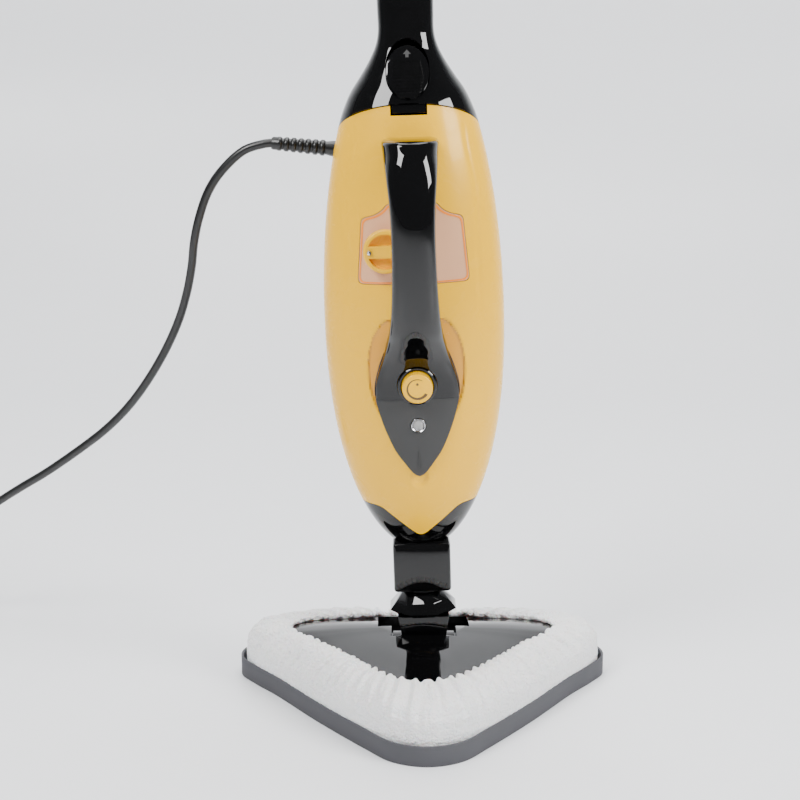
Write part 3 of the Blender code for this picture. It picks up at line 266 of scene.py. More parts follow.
def through(points: Sequence[Point], per_span: int, closed: bool = False) -> list[Vector]:
    """Run a smooth curve through points, and list it evenly within each span.

    Args:
        points: The points that the curve passes.
        per_span: Steps between two of them.
        closed: Run from the last point back to the first.

    Returns:
        The points along the curve.
    """
    pts = [Vector(p) for p in points]
    count, out = len(pts), []
    spans = count if closed else count - 1
    for i in range(spans):
        if closed:
            a, b, c, d = (pts[(i + k) % count] for k in (-1, 0, 1, 2))
        else:
            a, b, c, d = pts[max(i - 1, 0)], pts[i], pts[i + 1], pts[min(i + 2, count - 1)]
        for step in range(per_span):
            t = step / per_span
            out.append(0.5 * (2 * b + (c - a) * t + (2 * a - 5 * b + 4 * c - d) * t * t
                              + (3 * b - a - 3 * c + d) * t ** 3))
    return out if closed else out + [pts[-1]]


def prism(name: str, outline: Sequence[Flat], low: float, high: float) -> bpy.types.Object:
    """Make an upright prism from a front view (x, z), between two depths in Y."""
    return from_rings(name, [[(x, y, z) for x, z in outline] for y in (low, high)])


def ellipse(half_x: float, half_z: float, centre: tuple[float, float], steps: int) -> list[Flat]:
    """List an oval's points in a front view.

    Args:
        half_x: Half its width.
        half_z: Half its height.
        centre: Its middle.
        steps: How many points.

    Returns:
        The outline.
    """
    return [(centre[0] + half_x * math.cos(2 * math.pi * i / steps),
             centre[1] + half_z * math.sin(2 * math.pi * i / steps)) for i in range(steps)]


def rounded(corners: Sequence[Flat], radius: float, steps: int = 6) -> list[Flat]:
    """Round the corners of an outline.

    Args:
        corners: The outline as it would be with sharp corners.
        radius: How far from a corner its rounding starts.
        steps: Steps round one corner.

    Returns:
        The rounded outline.
    """
    out = []
    count = len(corners)
    for i in range(count):
        here = Vector(corners[i])
        before, after = Vector(corners[i - 1]) - here, Vector(corners[(i + 1) % count]) - here
        reach = min(radius, before.length * 0.45, after.length * 0.45)
        start, end = here + before.normalized() * reach, here + after.normalized() * reach
        for k in range(steps + 1):
            t = k / steps
            p = start * (1 - t) ** 2 + here * 2 * t * (1 - t) + end * t * t
            out.append((p.x, p.y))
    return out


def turned(name: str, profile: Sequence[Flat], flat: float = 1.0, steps: int = 96,
           place: Optional[Matrix] = None) -> bpy.types.Object:
    """Turn a closed section (radius, height) about Z; a radius of zero closes on the axis.

    Args:
        name: The piece's name.
        profile: The section, as radius and height.
        flat: Its depth as a share of its width.
        steps: Points round it.
        place: Where it stands.

    Returns:
        The new object.
    """
    open_ends = profile[0][0] < 1e-6
    rings = [[(r * math.cos(2 * math.pi * i / steps), r * flat * math.sin(2 * math.pi * i / steps), h)
              for i in range(steps)] for r, h in ((max(r, 1e-5), h) for r, h in profile)]
    item = from_rings(name, rings, closed=not open_ends)
    if place:
        item.data.transform(place)
    return item


# ---------------------------------------------------------------- finishes

def surface_group() -> bpy.types.NodeTree:
    """Return the shared group that gives every finish its cloudiness, speckle and fine relief.

    Returns:
        The node group.
    """
    found = bpy.data.node_groups.get("moulded_surface")
    if found:
        return found
    tree = bpy.data.node_groups.new("moulded_surface", "ShaderNodeTree")
    for name, low, high in (("Broad Scale", 0.0, 4000.0), ("Fine Scale", 0.0, 20000.0)):
        socket = tree.interface.new_socket(name, in_out="INPUT", socket_type="NodeSocketFloat")
        socket.min_value, socket.max_value = low, high
    tree.interface.new_socket("Vector", in_out="INPUT", socket_type="NodeSocketVector")
    for name in ("Cloud", "Speckle", "Scuff"):
        tree.interface.new_socket(name, in_out="OUTPUT", socket_type="NodeSocketFloat")
    inside = tree.nodes.new("NodeGroupInput")
    out = tree.nodes.new("NodeGroupOutput")
    for name, scale, detail in (("Cloud", "Broad Scale", 2.0), ("Speckle", "Fine Scale", 4.0)):
        noise_node = tree.nodes.new("ShaderNodeTexNoise")
        noise_node.inputs["Detail"].default_value = detail
        tree.links.new(inside.outputs["Vector"], noise_node.inputs["Vector"])
        tree.links.new(inside.outputs[scale], noise_node.inputs["Scale"])
        tree.links.new(noise_node.outputs["Fac"], out.inputs[name])
    wear = tree.nodes.new("ShaderNodeTexNoise")
    wear.inputs["Scale"].default_value = 60.0
    wear.inputs["Detail"].default_value = 6.0
    wear.inputs["Distortion"].default_value = 1.5
    tree.links.new(inside.outputs["Vector"], wear.inputs["Vector"])
    ramp = tree.nodes.new("ShaderNodeMapRange")
    ramp.inputs["From Min"].default_value, ramp.inputs["From Max"].default_value = 0.56, 0.74
    tree.links.new(wear.outputs["Fac"], ramp.inputs["Value"])
    tree.links.new(ramp.outputs["Result"], out.inputs["Scuff"])
    return tree


@dataclass(frozen=True)
class Finish:
    """A moulded, painted or turned finish, drawn from the shared surface group."""

    name: str
    colour: Point
    roughness: float
    metallic: float = 0.0
    coat: float = 0.0
    variation: float = 0.06
    broad: float = 30.0
    fine: float = 1500.0
    relief: float = 0.00003
    strength: float = 0.12
    sheen: float = 0.0
    transmission: float = 0.0
    specular: float = 0.5
    brushed: Optional[Point] = None
    wool: bool = False
    subsurface: float = 0.0

    def build(self) -> bpy.types.Material:
        """Return this finish's material, made at its first use.

        Returns:
            The material.
        """
        found = bpy.data.materials.get(self.name)
        if found:
            return found
        made = bpy.data.materials.new(self.name)
        made.use_nodes = True
        tree = made.node_tree
        shader = tree.nodes["Principled BSDF"]
        self.set_sockets(shader)
        place = tree.nodes.new("ShaderNodeTexCoord")
        source = place.outputs["Object"]
        if self.brushed:
            mapping = tree.nodes.new("ShaderNodeMapping")
            mapping.inputs["Scale"].default_value = self.brushed
            tree.links.new(source, mapping.inputs["Vector"])
            source = mapping.outputs["Vector"]
        group = tree.nodes.new("ShaderNodeGroup")
        group.node_tree = surface_group()
        group.inputs["Broad Scale"].default_value = self.broad
        group.inputs["Fine Scale"].default_value = self.fine
        tree.links.new(source, group.inputs["Vector"])
        mix = tree.nodes.new("ShaderNodeMix")
        mix.data_type = "RGBA"
        low = [c * (1 - self.variation) for c in self.colour]
        high = [min(1.0, c * (1 + self.variation)) for c in self.colour]
        mix.inputs["A"].default_value, mix.inputs["B"].default_value = (*low, 1), (*high, 1)
        tree.links.new(group.outputs["Cloud"], mix.inputs["Factor"])
        tree.links.new(mix.outputs["Result"], shader.inputs["Base Color"])
        rough = tree.nodes.new("ShaderNodeMapRange")
        rough.inputs["To Min"].default_value = max(0.02, self.roughness - 0.04)
        rough.inputs["To Max"].default_value = min(1.0, self.roughness + 0.10)
        tree.links.new(group.outputs["Scuff"], rough.inputs["Value"])
        tree.links.new(rough.outputs["Result"], shader.inputs["Roughness"])
        bump = tree.nodes.new("ShaderNodeBump")
        bump.inputs["Strength"].default_value = self.strength
        bump.inputs["Distance"].default_value = self.relief
        height = self.terry(tree, place, group) if self.wool else group.outputs["Speckle"]
        tree.links.new(height, bump.inputs["Height"])
        tree.links.new(bump.outputs["Normal"], shader.inputs["Normal"])
        return made

    def set_sockets(self, shader: bpy.types.Node) -> None:
        """Set the values that are the same all over.

        Args:
            shader: The Principled node.
        """
        shader.inputs["Specular IOR Level"].default_value = self.specular
        shader.inputs["Metallic"].default_value = self.metallic
        shader.inputs["Coat Weight"].default_value = self.coat
        shader.inputs["Coat Roughness"].default_value = 0.04
        shader.inputs["Sheen Weight"].default_value = self.sheen
        shader.inputs["Transmission Weight"].default_value = self.transmission
        shader.inputs["Subsurface Weight"].default_value = self.subsurface
        shader.inputs["Subsurface Scale"].default_value = 0.004

    @staticmethod
    def terry(tree: bpy.types.NodeTree, place: bpy.types.Node, group: bpy.types.Node) -> bpy.types.NodeSocket:
        """Return the height of looped microfibre: small round loops with loose pile between.

        Args:
            tree: The material's nodes.
            place: Its texture coordinates.
            group: Its surface group.

        Returns:
            The socket that carries the height.
        """
        loops = tree.nodes.new("ShaderNodeTexVoronoi")
        loops.inputs["Scale"].default_value = 420.0
        tree.links.new(place.outputs["Object"], loops.inputs["Vector"])
        add = tree.nodes.new("ShaderNodeMath")
        add.operation = "SUBTRACT"
        tree.links.new(group.outputs["Speckle"], add.inputs[0])
        tree.links.new(loops.outputs["Distance"], add.inputs[1])
        return add.outputs["Value"]


class Finishes:
    """Every finish on the mop, by the name of its record slot."""

    YELLOW = Finish("glossy_yellow", (0.94, 0.50, 0.0), 0.30, coat=0.10, specular=0.25,
                    variation=0.025, fine=900.0, strength=0.05)
    # Painted shade: a darker yellow that stands for the shadow in the pockets by the grip, not a colour of
    # the shell.
    POCKET_SHADE_YELLOW = Finish("painted_pocket_shade", (0.70, 0.30, 0.0), 0.28, coat=0.2, variation=0.03)
    BLACK = Finish("piano_black", (0.0018, 0.0018, 0.0020), 0.05, coat=0.15, specular=0.40,
                   variation=0.2, strength=0.04)
    SATIN = Finish("satin_black", (0.005, 0.005, 0.0048), 0.30, specular=0.20, variation=0.12, fine=2600.0,
                   strength=0.25)
    GLIDER = Finish("glider_grey", (0.005, 0.005, 0.0055), 0.38, specular=0.22, variation=0.10,
                    fine=2200.0, strength=0.3)
    RUBBER = Finish("cord_rubber", (0.007, 0.007, 0.007), 0.36, variation=0.15, fine=2800.0, strength=0.2)
    AMBER = Finish("amber_window", (0.98, 0.53, 0.30), 0.14, coat=0.5, transmission=0.25, variation=0.07)
    AMBER_LINE = Finish("amber_edge", (1.0, 0.27, 0.02), 0.18, coat=0.6, variation=0.04)
    CLEAR = Finish("clear_lens", (0.80, 0.82, 0.83), 0.05, transmission=0.75, variation=0.02)
    WOOL = Finish("white_microfibre", (0.93, 0.93, 0.93), 0.95, variation=0.03, fine=900.0, relief=0.0014,
                  strength=0.9, sheen=0.5, wool=True, subsurface=0.15)
    SILICONE = Finish("milky_silicone", (0.72, 0.70, 0.66), 0.35, variation=0.05)
    BOARD = Finish("circuit_board", (0.03, 0.16, 0.06), 0.38, variation=0.2)
    IVORY = Finish("ivory_plastic", (0.80, 0.76, 0.66), 0.40, variation=0.05)
    STEEL = Finish("turned_steel", (0.62, 0.62, 0.64), 0.22, metallic=1.0, variation=0.06,
                   brushed=(1.0, 1.0, 12.0))
    BRASS = Finish("turned_brass", (0.76, 0.56, 0.25), 0.24, metallic=1.0, variation=0.08,
                   brushed=(1.0, 12.0, 1.0))
    ALUMINIUM = Finish("cast_aluminium", (0.70, 0.71, 0.73), 0.42, metallic=1.0, variation=0.10,
                       fine=1800.0, strength=0.5)
    TUBE = Finish("painted_tube", (0.006, 0.006, 0.0065), 0.20, coat=0.7, variation=0.12, strength=0.08)
    MARK = Finish("printed_mark", (0.10, 0.055, 0.01), 0.45, variation=0.1)

    BY_SLOT = {
        "yellow_shell": YELLOW, "gloss_black": BLACK, "satin_black": SATIN, "glider_grey": GLIDER,
        "rubber": RUBBER, "amber_clear": AMBER, "clear_lens": CLEAR, "microfibre": WOOL,
        "silicone": SILICONE, "board": BOARD, "ivory": IVORY, "steel": STEEL, "brass": BRASS,
        "aluminium": ALUMINIUM, "black_tube": TUBE,
    }


def dress(item: bpy.types.Object, finish: Finish) -> None:
    """Give a piece one finish all over."""
    item.data.materials.clear()
    item.data.materials.append(finish.build())


def finish_piece(item: bpy.types.Object, body: Body, slot: str, nodes: Iterable[str] = (),
                 finish: Optional[Finish] = None, degrees: float = 35.0) -> bpy.types.Object:
    """Dress a piece, hand it to its body and let it stand for its CAD nodes.

    Args:
        item: The finished mesh, in place.
        body: The body that it moves with.
        slot: The record's material slot.
        nodes: The CAD nodes it stands for.
        finish: Another finish than the slot's own.
        degrees: The sharpest edge that is shaded smooth.

    Returns:
        The same object.
    """
    smooth(item, degrees)
    dress(item, finish or Finishes.BY_SLOT[slot])
    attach(item, body.value)
    if nodes:
        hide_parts(*nodes)
    LOG.info("%s rides on %s", item.name, body.value)
    return item


# ---------------------------------------------------------------- mains cord

CORD_ROUTE = [
    (-0.1210, 0.025, 0.4423), (-0.140, 0.026, 0.4365), (-0.157, 0.028, 0.4215),
    (-0.169, 0.031, 0.4042), (-0.177, 0.034, 0.3834), (-0.182, 0.038, 0.3630),
    (-0.185, 0.044, 0.3430), (-0.190, 0.050, 0.3210), (-0.198, 0.058, 0.2970),
    (-0.210, 0.067, 0.2715), (-0.226, 0.077, 0.2445), (-0.245, 0.088, 0.2185),
    (-0.267, 0.099, 0.1955), (-0.293, 0.111, 0.1740), (-0.323, 0.124, 0.1515),
    (-0.350, 0.135, 0.1335), (-0.376, 0.146, 0.1150), (-0.403, 0.156, 0.0930),
    (-0.427, 0.164, 0.0700), (-0.447, 0.170, 0.0500), (-0.463, 0.173, 0.0370),
    (-0.478, 0.173, 0.0324),
]


@dataclass
class MainsCord:
    """The mains cord: a relief at the body, a loose run, and a stored coil that ends in a plug.

    The run is one cord. It is made in four stretches, one for each joint between the glider that its coil
    lies by and the body that it leaves, but no stretch is handed to a body.
    """

    diameter: float = 0.007
    leaves_at: Point = (-0.1165, 0.025, 0.4424)     # inside the relief's mouth
    centre: tuple[float, float] = (-0.478, 0.222)
    inner: float = 0.0383
    outer: float = 0.0597
    layer_pitch: float = 0.0071
    layers: int = 4
    cuts: tuple[int, ...] = (0, 3, 8, 17, 21)
    bodies: tuple[Body, ...] = (Body.HANDHELD, Body.NECK, Body.SWIVEL, Body.HEAD, Body.GLIDER)
    per_span: int = 6

    def coil_line(self) -> list[Vector]:
        """Return the coil's centreline, from where the run lands on it to its last turn.

        Returns:
            The points of the centreline.
        """
        levels = [self.diameter / 2 + self.layer_pitch * k for k in range(self.layers)]
        stops = [(0.0, 0.049, CORD_ROUTE[-1][2]), (0.28, 0.0597, CORD_ROUTE[-1][2]),
                 (0.5, self.outer, levels[-1])]
        turn = 0.5
        for number in range(self.layers):
            ends = self.inner if number % 2 == 0 else self.outer
            turn += 3.0
            stops.append((turn, ends, levels[-1 - number]))
            if number < self.layers - 1:
                turn += 0.25
                stops.append((turn, ends, levels[-2 - number]))
        line = []
        for (t0, r0, z0), (t1, r1, z1) in zip(stops, stops[1:]):
            steps = max(4, int((t1 - t0) * 40))
            for i in range(steps):
                s = i / steps
                ease = s * s * (3 - 2 * s)
                angle = -math.pi / 2 - 2 * math.pi * (t0 + (t1 - t0) * s)
                radius = r0 + (r1 - r0) * (s if t1 - t0 > 1 else ease)
                height = z0 + (z1 - z0) * ease if t1 - t0 <= 1 else z0
                line.append(Vector((self.centre[0] + radius * math.cos(angle),
                                    self.centre[1] + radius * math.sin(angle), height)))
        return line

    def tail_line(self) -> list[Vector]:
        """Return the cord's way from the coil's last turn into the plug.

        Returns:
            The points of the centreline.
        """
        half = self.diameter / 2
        return through([(-0.5377, 0.222, half), (-0.5412, 0.2330, half), (-0.5458, 0.2445, half + 0.001),
                        (-0.5490, 0.2570, 0.0078), (-0.5490, 0.2660, 0.0080)], 5)

    def tube(self, name: str, line: Sequence[Vector], sides: int = 14) -> bpy.types.Object:
        """Return a round tube along a line, its frame carried along without twist.

        Args:
            name: The piece's name.
            line: Its centreline.
            sides: Points round it.

        Returns:
            The new object.
        """
        rings, across = [], None
        for i, p in enumerate(line):
            way = (line[min(i + 1, len(line) - 1)] - line[max(i - 1, 0)]).normalized()
            if across is None:
                across = way.orthogonal().normalized()
            across = (across - way * across.dot(way)).normalized()
            other = way.cross(across)
            rings.append([tuple(p + (across * math.cos(a) + other * math.sin(a)) * self.diameter / 2)
                          for a in (2 * math.pi * k / sides for k in range(sides))])
        return from_rings(name, rings)

    def dress_cord(self, item: bpy.types.Object) -> None:
        """Shade the cord and give it its rubber."""
        smooth(item, 60.0)
        dress(item, Finishes.RUBBER)

    def build_run(self, run: Sequence[Vector]) -> None:
        """Args:
            run: The loose run's centreline, from the relief to the coil.
        """
        for number in range(len(self.cuts) - 1):
            first, last = self.cuts[number] * self.per_span, self.cuts[number + 1] * self.per_span
            line = run[first:last + 1]
            item = self.tube(f"cord_stretch_{number + 1}", line)
            self.dress_cord(item)
            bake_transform(item)
            if number == 0:
                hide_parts("cord_run")

    def build_coil(self, line: Sequence[Vector]) -> None:
        """Args:
            line: The centreline of the coil and its tail.
        """
        coil = self.tube("cord_coiled", line, 12)
        self.dress_cord(coil)
        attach(coil, Body.GLIDER.value)
        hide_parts("cord_coil", "cord_tail")

    def build_relief(self) -> None:
        """Build the tapered relief with its moulded rings."""
        length = (Vector(RELIEF_END) - Vector(RELIEF_START)).length
        side = [(0.0, length), (0.0044, length), (0.0050, length - 0.0012)]
        for k in range(7):
            h = length - 0.006 - 0.0056 * k
            radius = 0.0051 + 0.00012 * k
            side += [(radius, h + 0.0014), (radius + 0.0004, h + 0.0008), (radius + 0.0004, h - 0.0012),
                     (radius, h - 0.0018), (radius - 0.0006, h - 0.0022), (radius - 0.0006, h - 0.0034)]
        side += [(0.0062, 0.014), (0.0062, 0.0), (0.0, 0.0)]
        relief = turned("cord_relief", side, steps=48, place=relief_place())
        lean(relief)
        finish_piece(relief, Body.HANDHELD, "rubber", ["strain_relief"])

    def build(self) -> None:
        """Build the run, the coil and the relief, and report the cord's whole length."""
        run = through(CORD_ROUTE, self.per_span)
        run[0] = Vector(self.leaves_at)
        line = self.coil_line() + self.tail_line()
        self.build_run(run)
        self.build_coil(line)
        LOG.info("mains cord is %.2f m long", length_of(run) + length_of(line))
        self.build_relief()


def length_of(line: Sequence[Vector]) -> float:
    """Return the length of a line of points."""
    return sum((b - a).length for a, b in zip(line, line[1:]))


# ---------------------------------------------------------------- stage

@dataclass
class Stage:
    """A pale floor that curves up into a backdrop, soft lights and the camera."""

    camera_place: Point = (-0.03, -1.39, 0.564)
    camera_turn: tuple[float, float, float] = (77.0, 0.0, -0.45)
    lens: float = 81.5

    @staticmethod
    def build_floor() -> None:
        """Build the floor, which curves up behind the mop."""
        profile = [(-4.0, 0.0), (1.1, 0.0)]
        profile += [(1.1 + 0.5 * math.sin(a), 0.5 - 0.5 * math.cos(a))
                    for a in (math.pi / 2 * k / 16 for k in range(1, 17))] + [(1.6, 4.0)]
        bm = bmesh.new()
        rows = [[bm.verts.new((x, y, z)) for x in (-5.0, 5.0)] for y, z in profile]
        for low, high in zip(rows, rows[1:]):
            bm.faces.new((low[0], low[1], high[1], high[0]))
        data = bpy.data.meshes.new("floor")
        bm.to_mesh(data)
        bm.free()
        floor = bpy.data.objects.new("floor", data)
        bpy.context.scene.collection.objects.link(floor)
        smooth(floor, 40.0)
        dress(floor, Finish("pale_floor", (0.84, 0.85, 0.87), 0.42, variation=0.01, strength=0.02))
        floor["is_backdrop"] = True

    def build_lights(self) -> None:
        """Build three soft lights and the pale world around them."""
        self.light("key_softbox", (-1.5, -1.5, 2.2), (0.0, 0.0, 0.3), 1.1, 86.0)
        self.light("fill_softbox", (1.8, -1.0, 1.3), (0.0, 0.0, 0.3), 0.9, 60.0)
        self.light("top_softbox", (0.1, 0.3, 2.6), (0.0, 0.0, 0.0), 2.0, 84.0)
        world = bpy.data.worlds.new("studio")
        world.use_nodes = True
        world.node_tree.nodes["Background"].inputs["Color"].default_value = (0.90, 0.93, 0.97, 1)
        world.node_tree.nodes["Background"].inputs["Strength"].default_value = 0.16
        bpy.context.scene.world = world

    def build_camera(self) -> None:
        """Build the camera and make it the scene's own."""
        data = bpy.data.cameras.new("camera")
        data.lens, data.sensor_width = self.lens, 36.0
        camera = bpy.data.objects.new("camera", data)
        camera.location = self.camera_place
        camera.rotation_euler = tuple(math.radians(a) for a in self.camera_turn)
        bpy.context.scene.collection.objects.link(camera)
        bpy.context.scene.camera = camera

    def build(self) -> None:
        """Build the floor, the lights and the camera."""
        self.build_floor()
        self.build_lights()
        self.build_camera()

    @staticmethod
    def light(name: str, place: Point, target: Point, size: float, power: float) -> None:
        """Add a square soft light that faces a point.

        Args:
            name: The light's name.
            place: Where it hangs.
            target: The point that it faces.
            size: The length of its side.
            power: Its power in watts.
        """
        data = bpy.data.lights.new(name, "AREA")
        data.size, data.energy = size, power
        item = bpy.data.objects.new(name, data)
        item.location = place
        item.rotation_euler = (Vector(target) - Vector(place)).to_track_quat("-Z", "Y").to_euler()
        bpy.context.scene.collection.objects.link(item)


def dress_frame(frame: dict) -> None:
    """Give every CAD node that still shows its finish, by its slot in the record.
    """
    slots = {part["node"]: part["material_slot"] for part in frame["record"]["subparts"]}
    for name, item in frame["nodes"].items():
        if item.hide_render:
            continue
        material = Finishes.BY_SLOT[slots[name]].build()
        for place in item.material_slots:
            place.material = material
        LOG.info("%s keeps its packed shape", name)


def write_sizes(before: object) -> None:
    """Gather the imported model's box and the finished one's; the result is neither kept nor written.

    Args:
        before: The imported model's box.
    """
    def plain(value: object) -> object:
        """Return vectors as lists of numbers."""
        return [plain(v) for v in value] if hasattr(value, "__len__") else float(value)
    {"cad": plain(before), "visual": plain(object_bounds())}


# ---------------------------------------------------------------- handheld body

@dataclass
class Spindle:
    """The rounded spindle that every shell of the handheld body follows."""

    half_width: float = 0.0700
    half_depth: float = 0.0520
    middle: float = 0.3120
    above: float = 0.2270
    below: float = 0.1900
    low_power: float = 2.2
    seam: float = 0.0080

    def ratio(self, height: float) -> float:
        """Return the width at a height, as a share of the widest.

        Args:
            height: The height.

        Returns:
            A share from 0 to 1.
        """
        if height >= self.middle:
            return math.sqrt(max(0.0, 1 - ((height - self.middle) / self.above) ** 2))
        return math.sqrt(max(0.0, 1 - ((self.middle - height) / self.below) ** self.low_power))

    def front(self, x: float, height: float, grow: float = 0.0) -> float:
        """Return Y of the front surface, moved out by a distance."""
        across = x / (self.half_width + grow)
        return -(self.half_depth + grow) * math.sqrt(max(0.0, self.ratio(height) ** 2 - across ** 2))

    def arc(self, height: float, grow: float, front: bool, steps: int, seam: float) -> list[Point]:
        """List one half of the spindle's section, from the +X side of the seam to the -X side.

        Args:
            height: The height of the section.
            grow: How far it stands off the surface.
            front: The front half, else the rear.
            steps: How many points.
            seam: Where the half ends in Y.

        Returns:
            The points of the half section.
        """
        share = self.ratio(height)
        deep, wide = (self.half_depth + grow) * share, (self.half_width + grow) * share
        lift = math.asin(min(1.0, seam / max(deep, 1e-6)))
        start, end = (lift, -math.pi - lift) if front else (lift, math.pi - lift)
        return [(wide * math.cos(a), deep * math.sin(a), height)
                for a in (start + (end - start) * i / (steps - 1) for i in range(steps))]

    def half_shell(self, name: str, front: bool, low: float, high: float, outer: float, inner: float,
                   seam: float, steps: int = 200, rows: int = 220,
                   relief: Optional[Callable[[float, float], float]] = None) -> bpy.types.Object:
        """Build one closed half of the shell between two distances from the surface.

        Args:
            name: The piece's name.
            front: The front half, else the rear.
            low: Its lowest height.
            high: Its highest height.
            outer: How far its outside stands off the surface.
            inner: How far its inside stands off the surface.
            seam: Where the half ends in Y.
            steps: Points across.
            rows: Points up.
            relief: How far the outside sinks at (x, z), in metres.

        Returns:
            The new object.
        """
        rings = []
        for i in range(rows + 1):
            height = low + (high - low) * i / rows
            outside = []
            for x, y, z in self.arc(height, outer, front, steps, seam):
                sink = relief(x, z) if relief else 0.0
                away = Vector((x / self.half_width ** 2, y / self.half_depth ** 2, 0.0))
                shift = away.normalized() * sink if away.length > 0 else away
                outside.append((x - shift.x, y - shift.y, z))
            inside = self.arc(height, inner, front, steps // 2, seam)
            rings.append(outside + inside[::-1])
        return from_rings(name, rings)

    def solid(self, name: str, grow: float, steps: int = 128, rows: int = 120) -> bpy.types.Object:
        """Return the whole body as one closed solid.

        Args:
            name: The piece's name.
            grow: How far it stands off the surface.
            steps: Points round it.
            rows: Points up it.

        Returns:
            The new object.
        """
        rings = []
        for i in range(rows + 1):
            rise = -math.cos(math.pi * i / rows)
            height = self.middle + rise * (self.above if rise > 0 else self.below) * 0.9999
            share = self.ratio(height)
            rings.append([((self.half_width + grow) * share * math.cos(a),
                           (self.half_depth + grow) * share * math.sin(a), height)
                          for a in (2 * math.pi * k / steps for k in range(steps))])
        return from_rings(name, rings)


SPINDLE = Spindle()


def soft_step(value: float, low: float, high: float) -> float:
    """Return 0 below low and 1 above high, smooth between."""
    t = min(1.0, max(0.0, (value - low) / (high - low)))
    return t * t * (3 - 2 * t)


def block(name: str, size: Point, centre: Point) -> bpy.types.Object:
    """Return a box of a size at a centre, as a cutting tool.

    Args:
        name: The tool's name.
        size: Its three sides.
        centre: Its middle.

    Returns:
        The new object.
    """
    deselect()
    bpy.ops.mesh.primitive_cube_add(size=1.0, location=centre)
    item = bpy.context.object
    item.name, item.scale = name, size
    fix_place(item)
    return item


def rod(name: str, radius: float, length: float, centre: Point, axis: str = "Z",
        sides: int = 64) -> bpy.types.Object:
    """Return a round bar along an axis, as a cutting tool.

    Args:
        name: The tool's name.
        radius: Its radius.
        length: Its length.
        centre: Its middle.
        axis: X, Y or Z.
        sides: Points round it.

    Returns:
        The new object.
    """
    deselect()
    turn = {"X": (0.0, math.pi / 2, 0.0), "Y": (math.pi / 2, 0.0, 0.0), "Z": (0.0, 0.0, 0.0)}[axis]
    bpy.ops.mesh.primitive_cylinder_add(vertices=sides, radius=radius, depth=length, location=centre,
                                        rotation=turn)
    item = bpy.context.object
    item.name = name
    fix_place(item)
    return item


def front_hole(name: str, radius: float, height: float) -> bpy.types.Object:
    """Return the tool for a round hole through the front of the body."""
    return rod(name, radius, 0.06, (0.0, -0.050, height), "Y")


def latch_slot() -> bpy.types.Object:
    """Return the tool for the slot that the latch's tongue drops into."""
    return block("latch_slot", (0.0274, 0.030, 0.024), (0.0, -0.034, 0.4800))


def relief_place() -> Matrix:
    """Return the strain relief's seat in the shell and the way that the cord leaves.

    Returns:
        The place and turn as one matrix.
    """
    start = Vector(RELIEF_START)
    turn = (Vector(RELIEF_END) - start).to_track_quat("Z", "Y").to_matrix().to_4x4()
    return Matrix.Translation(start) @ turn


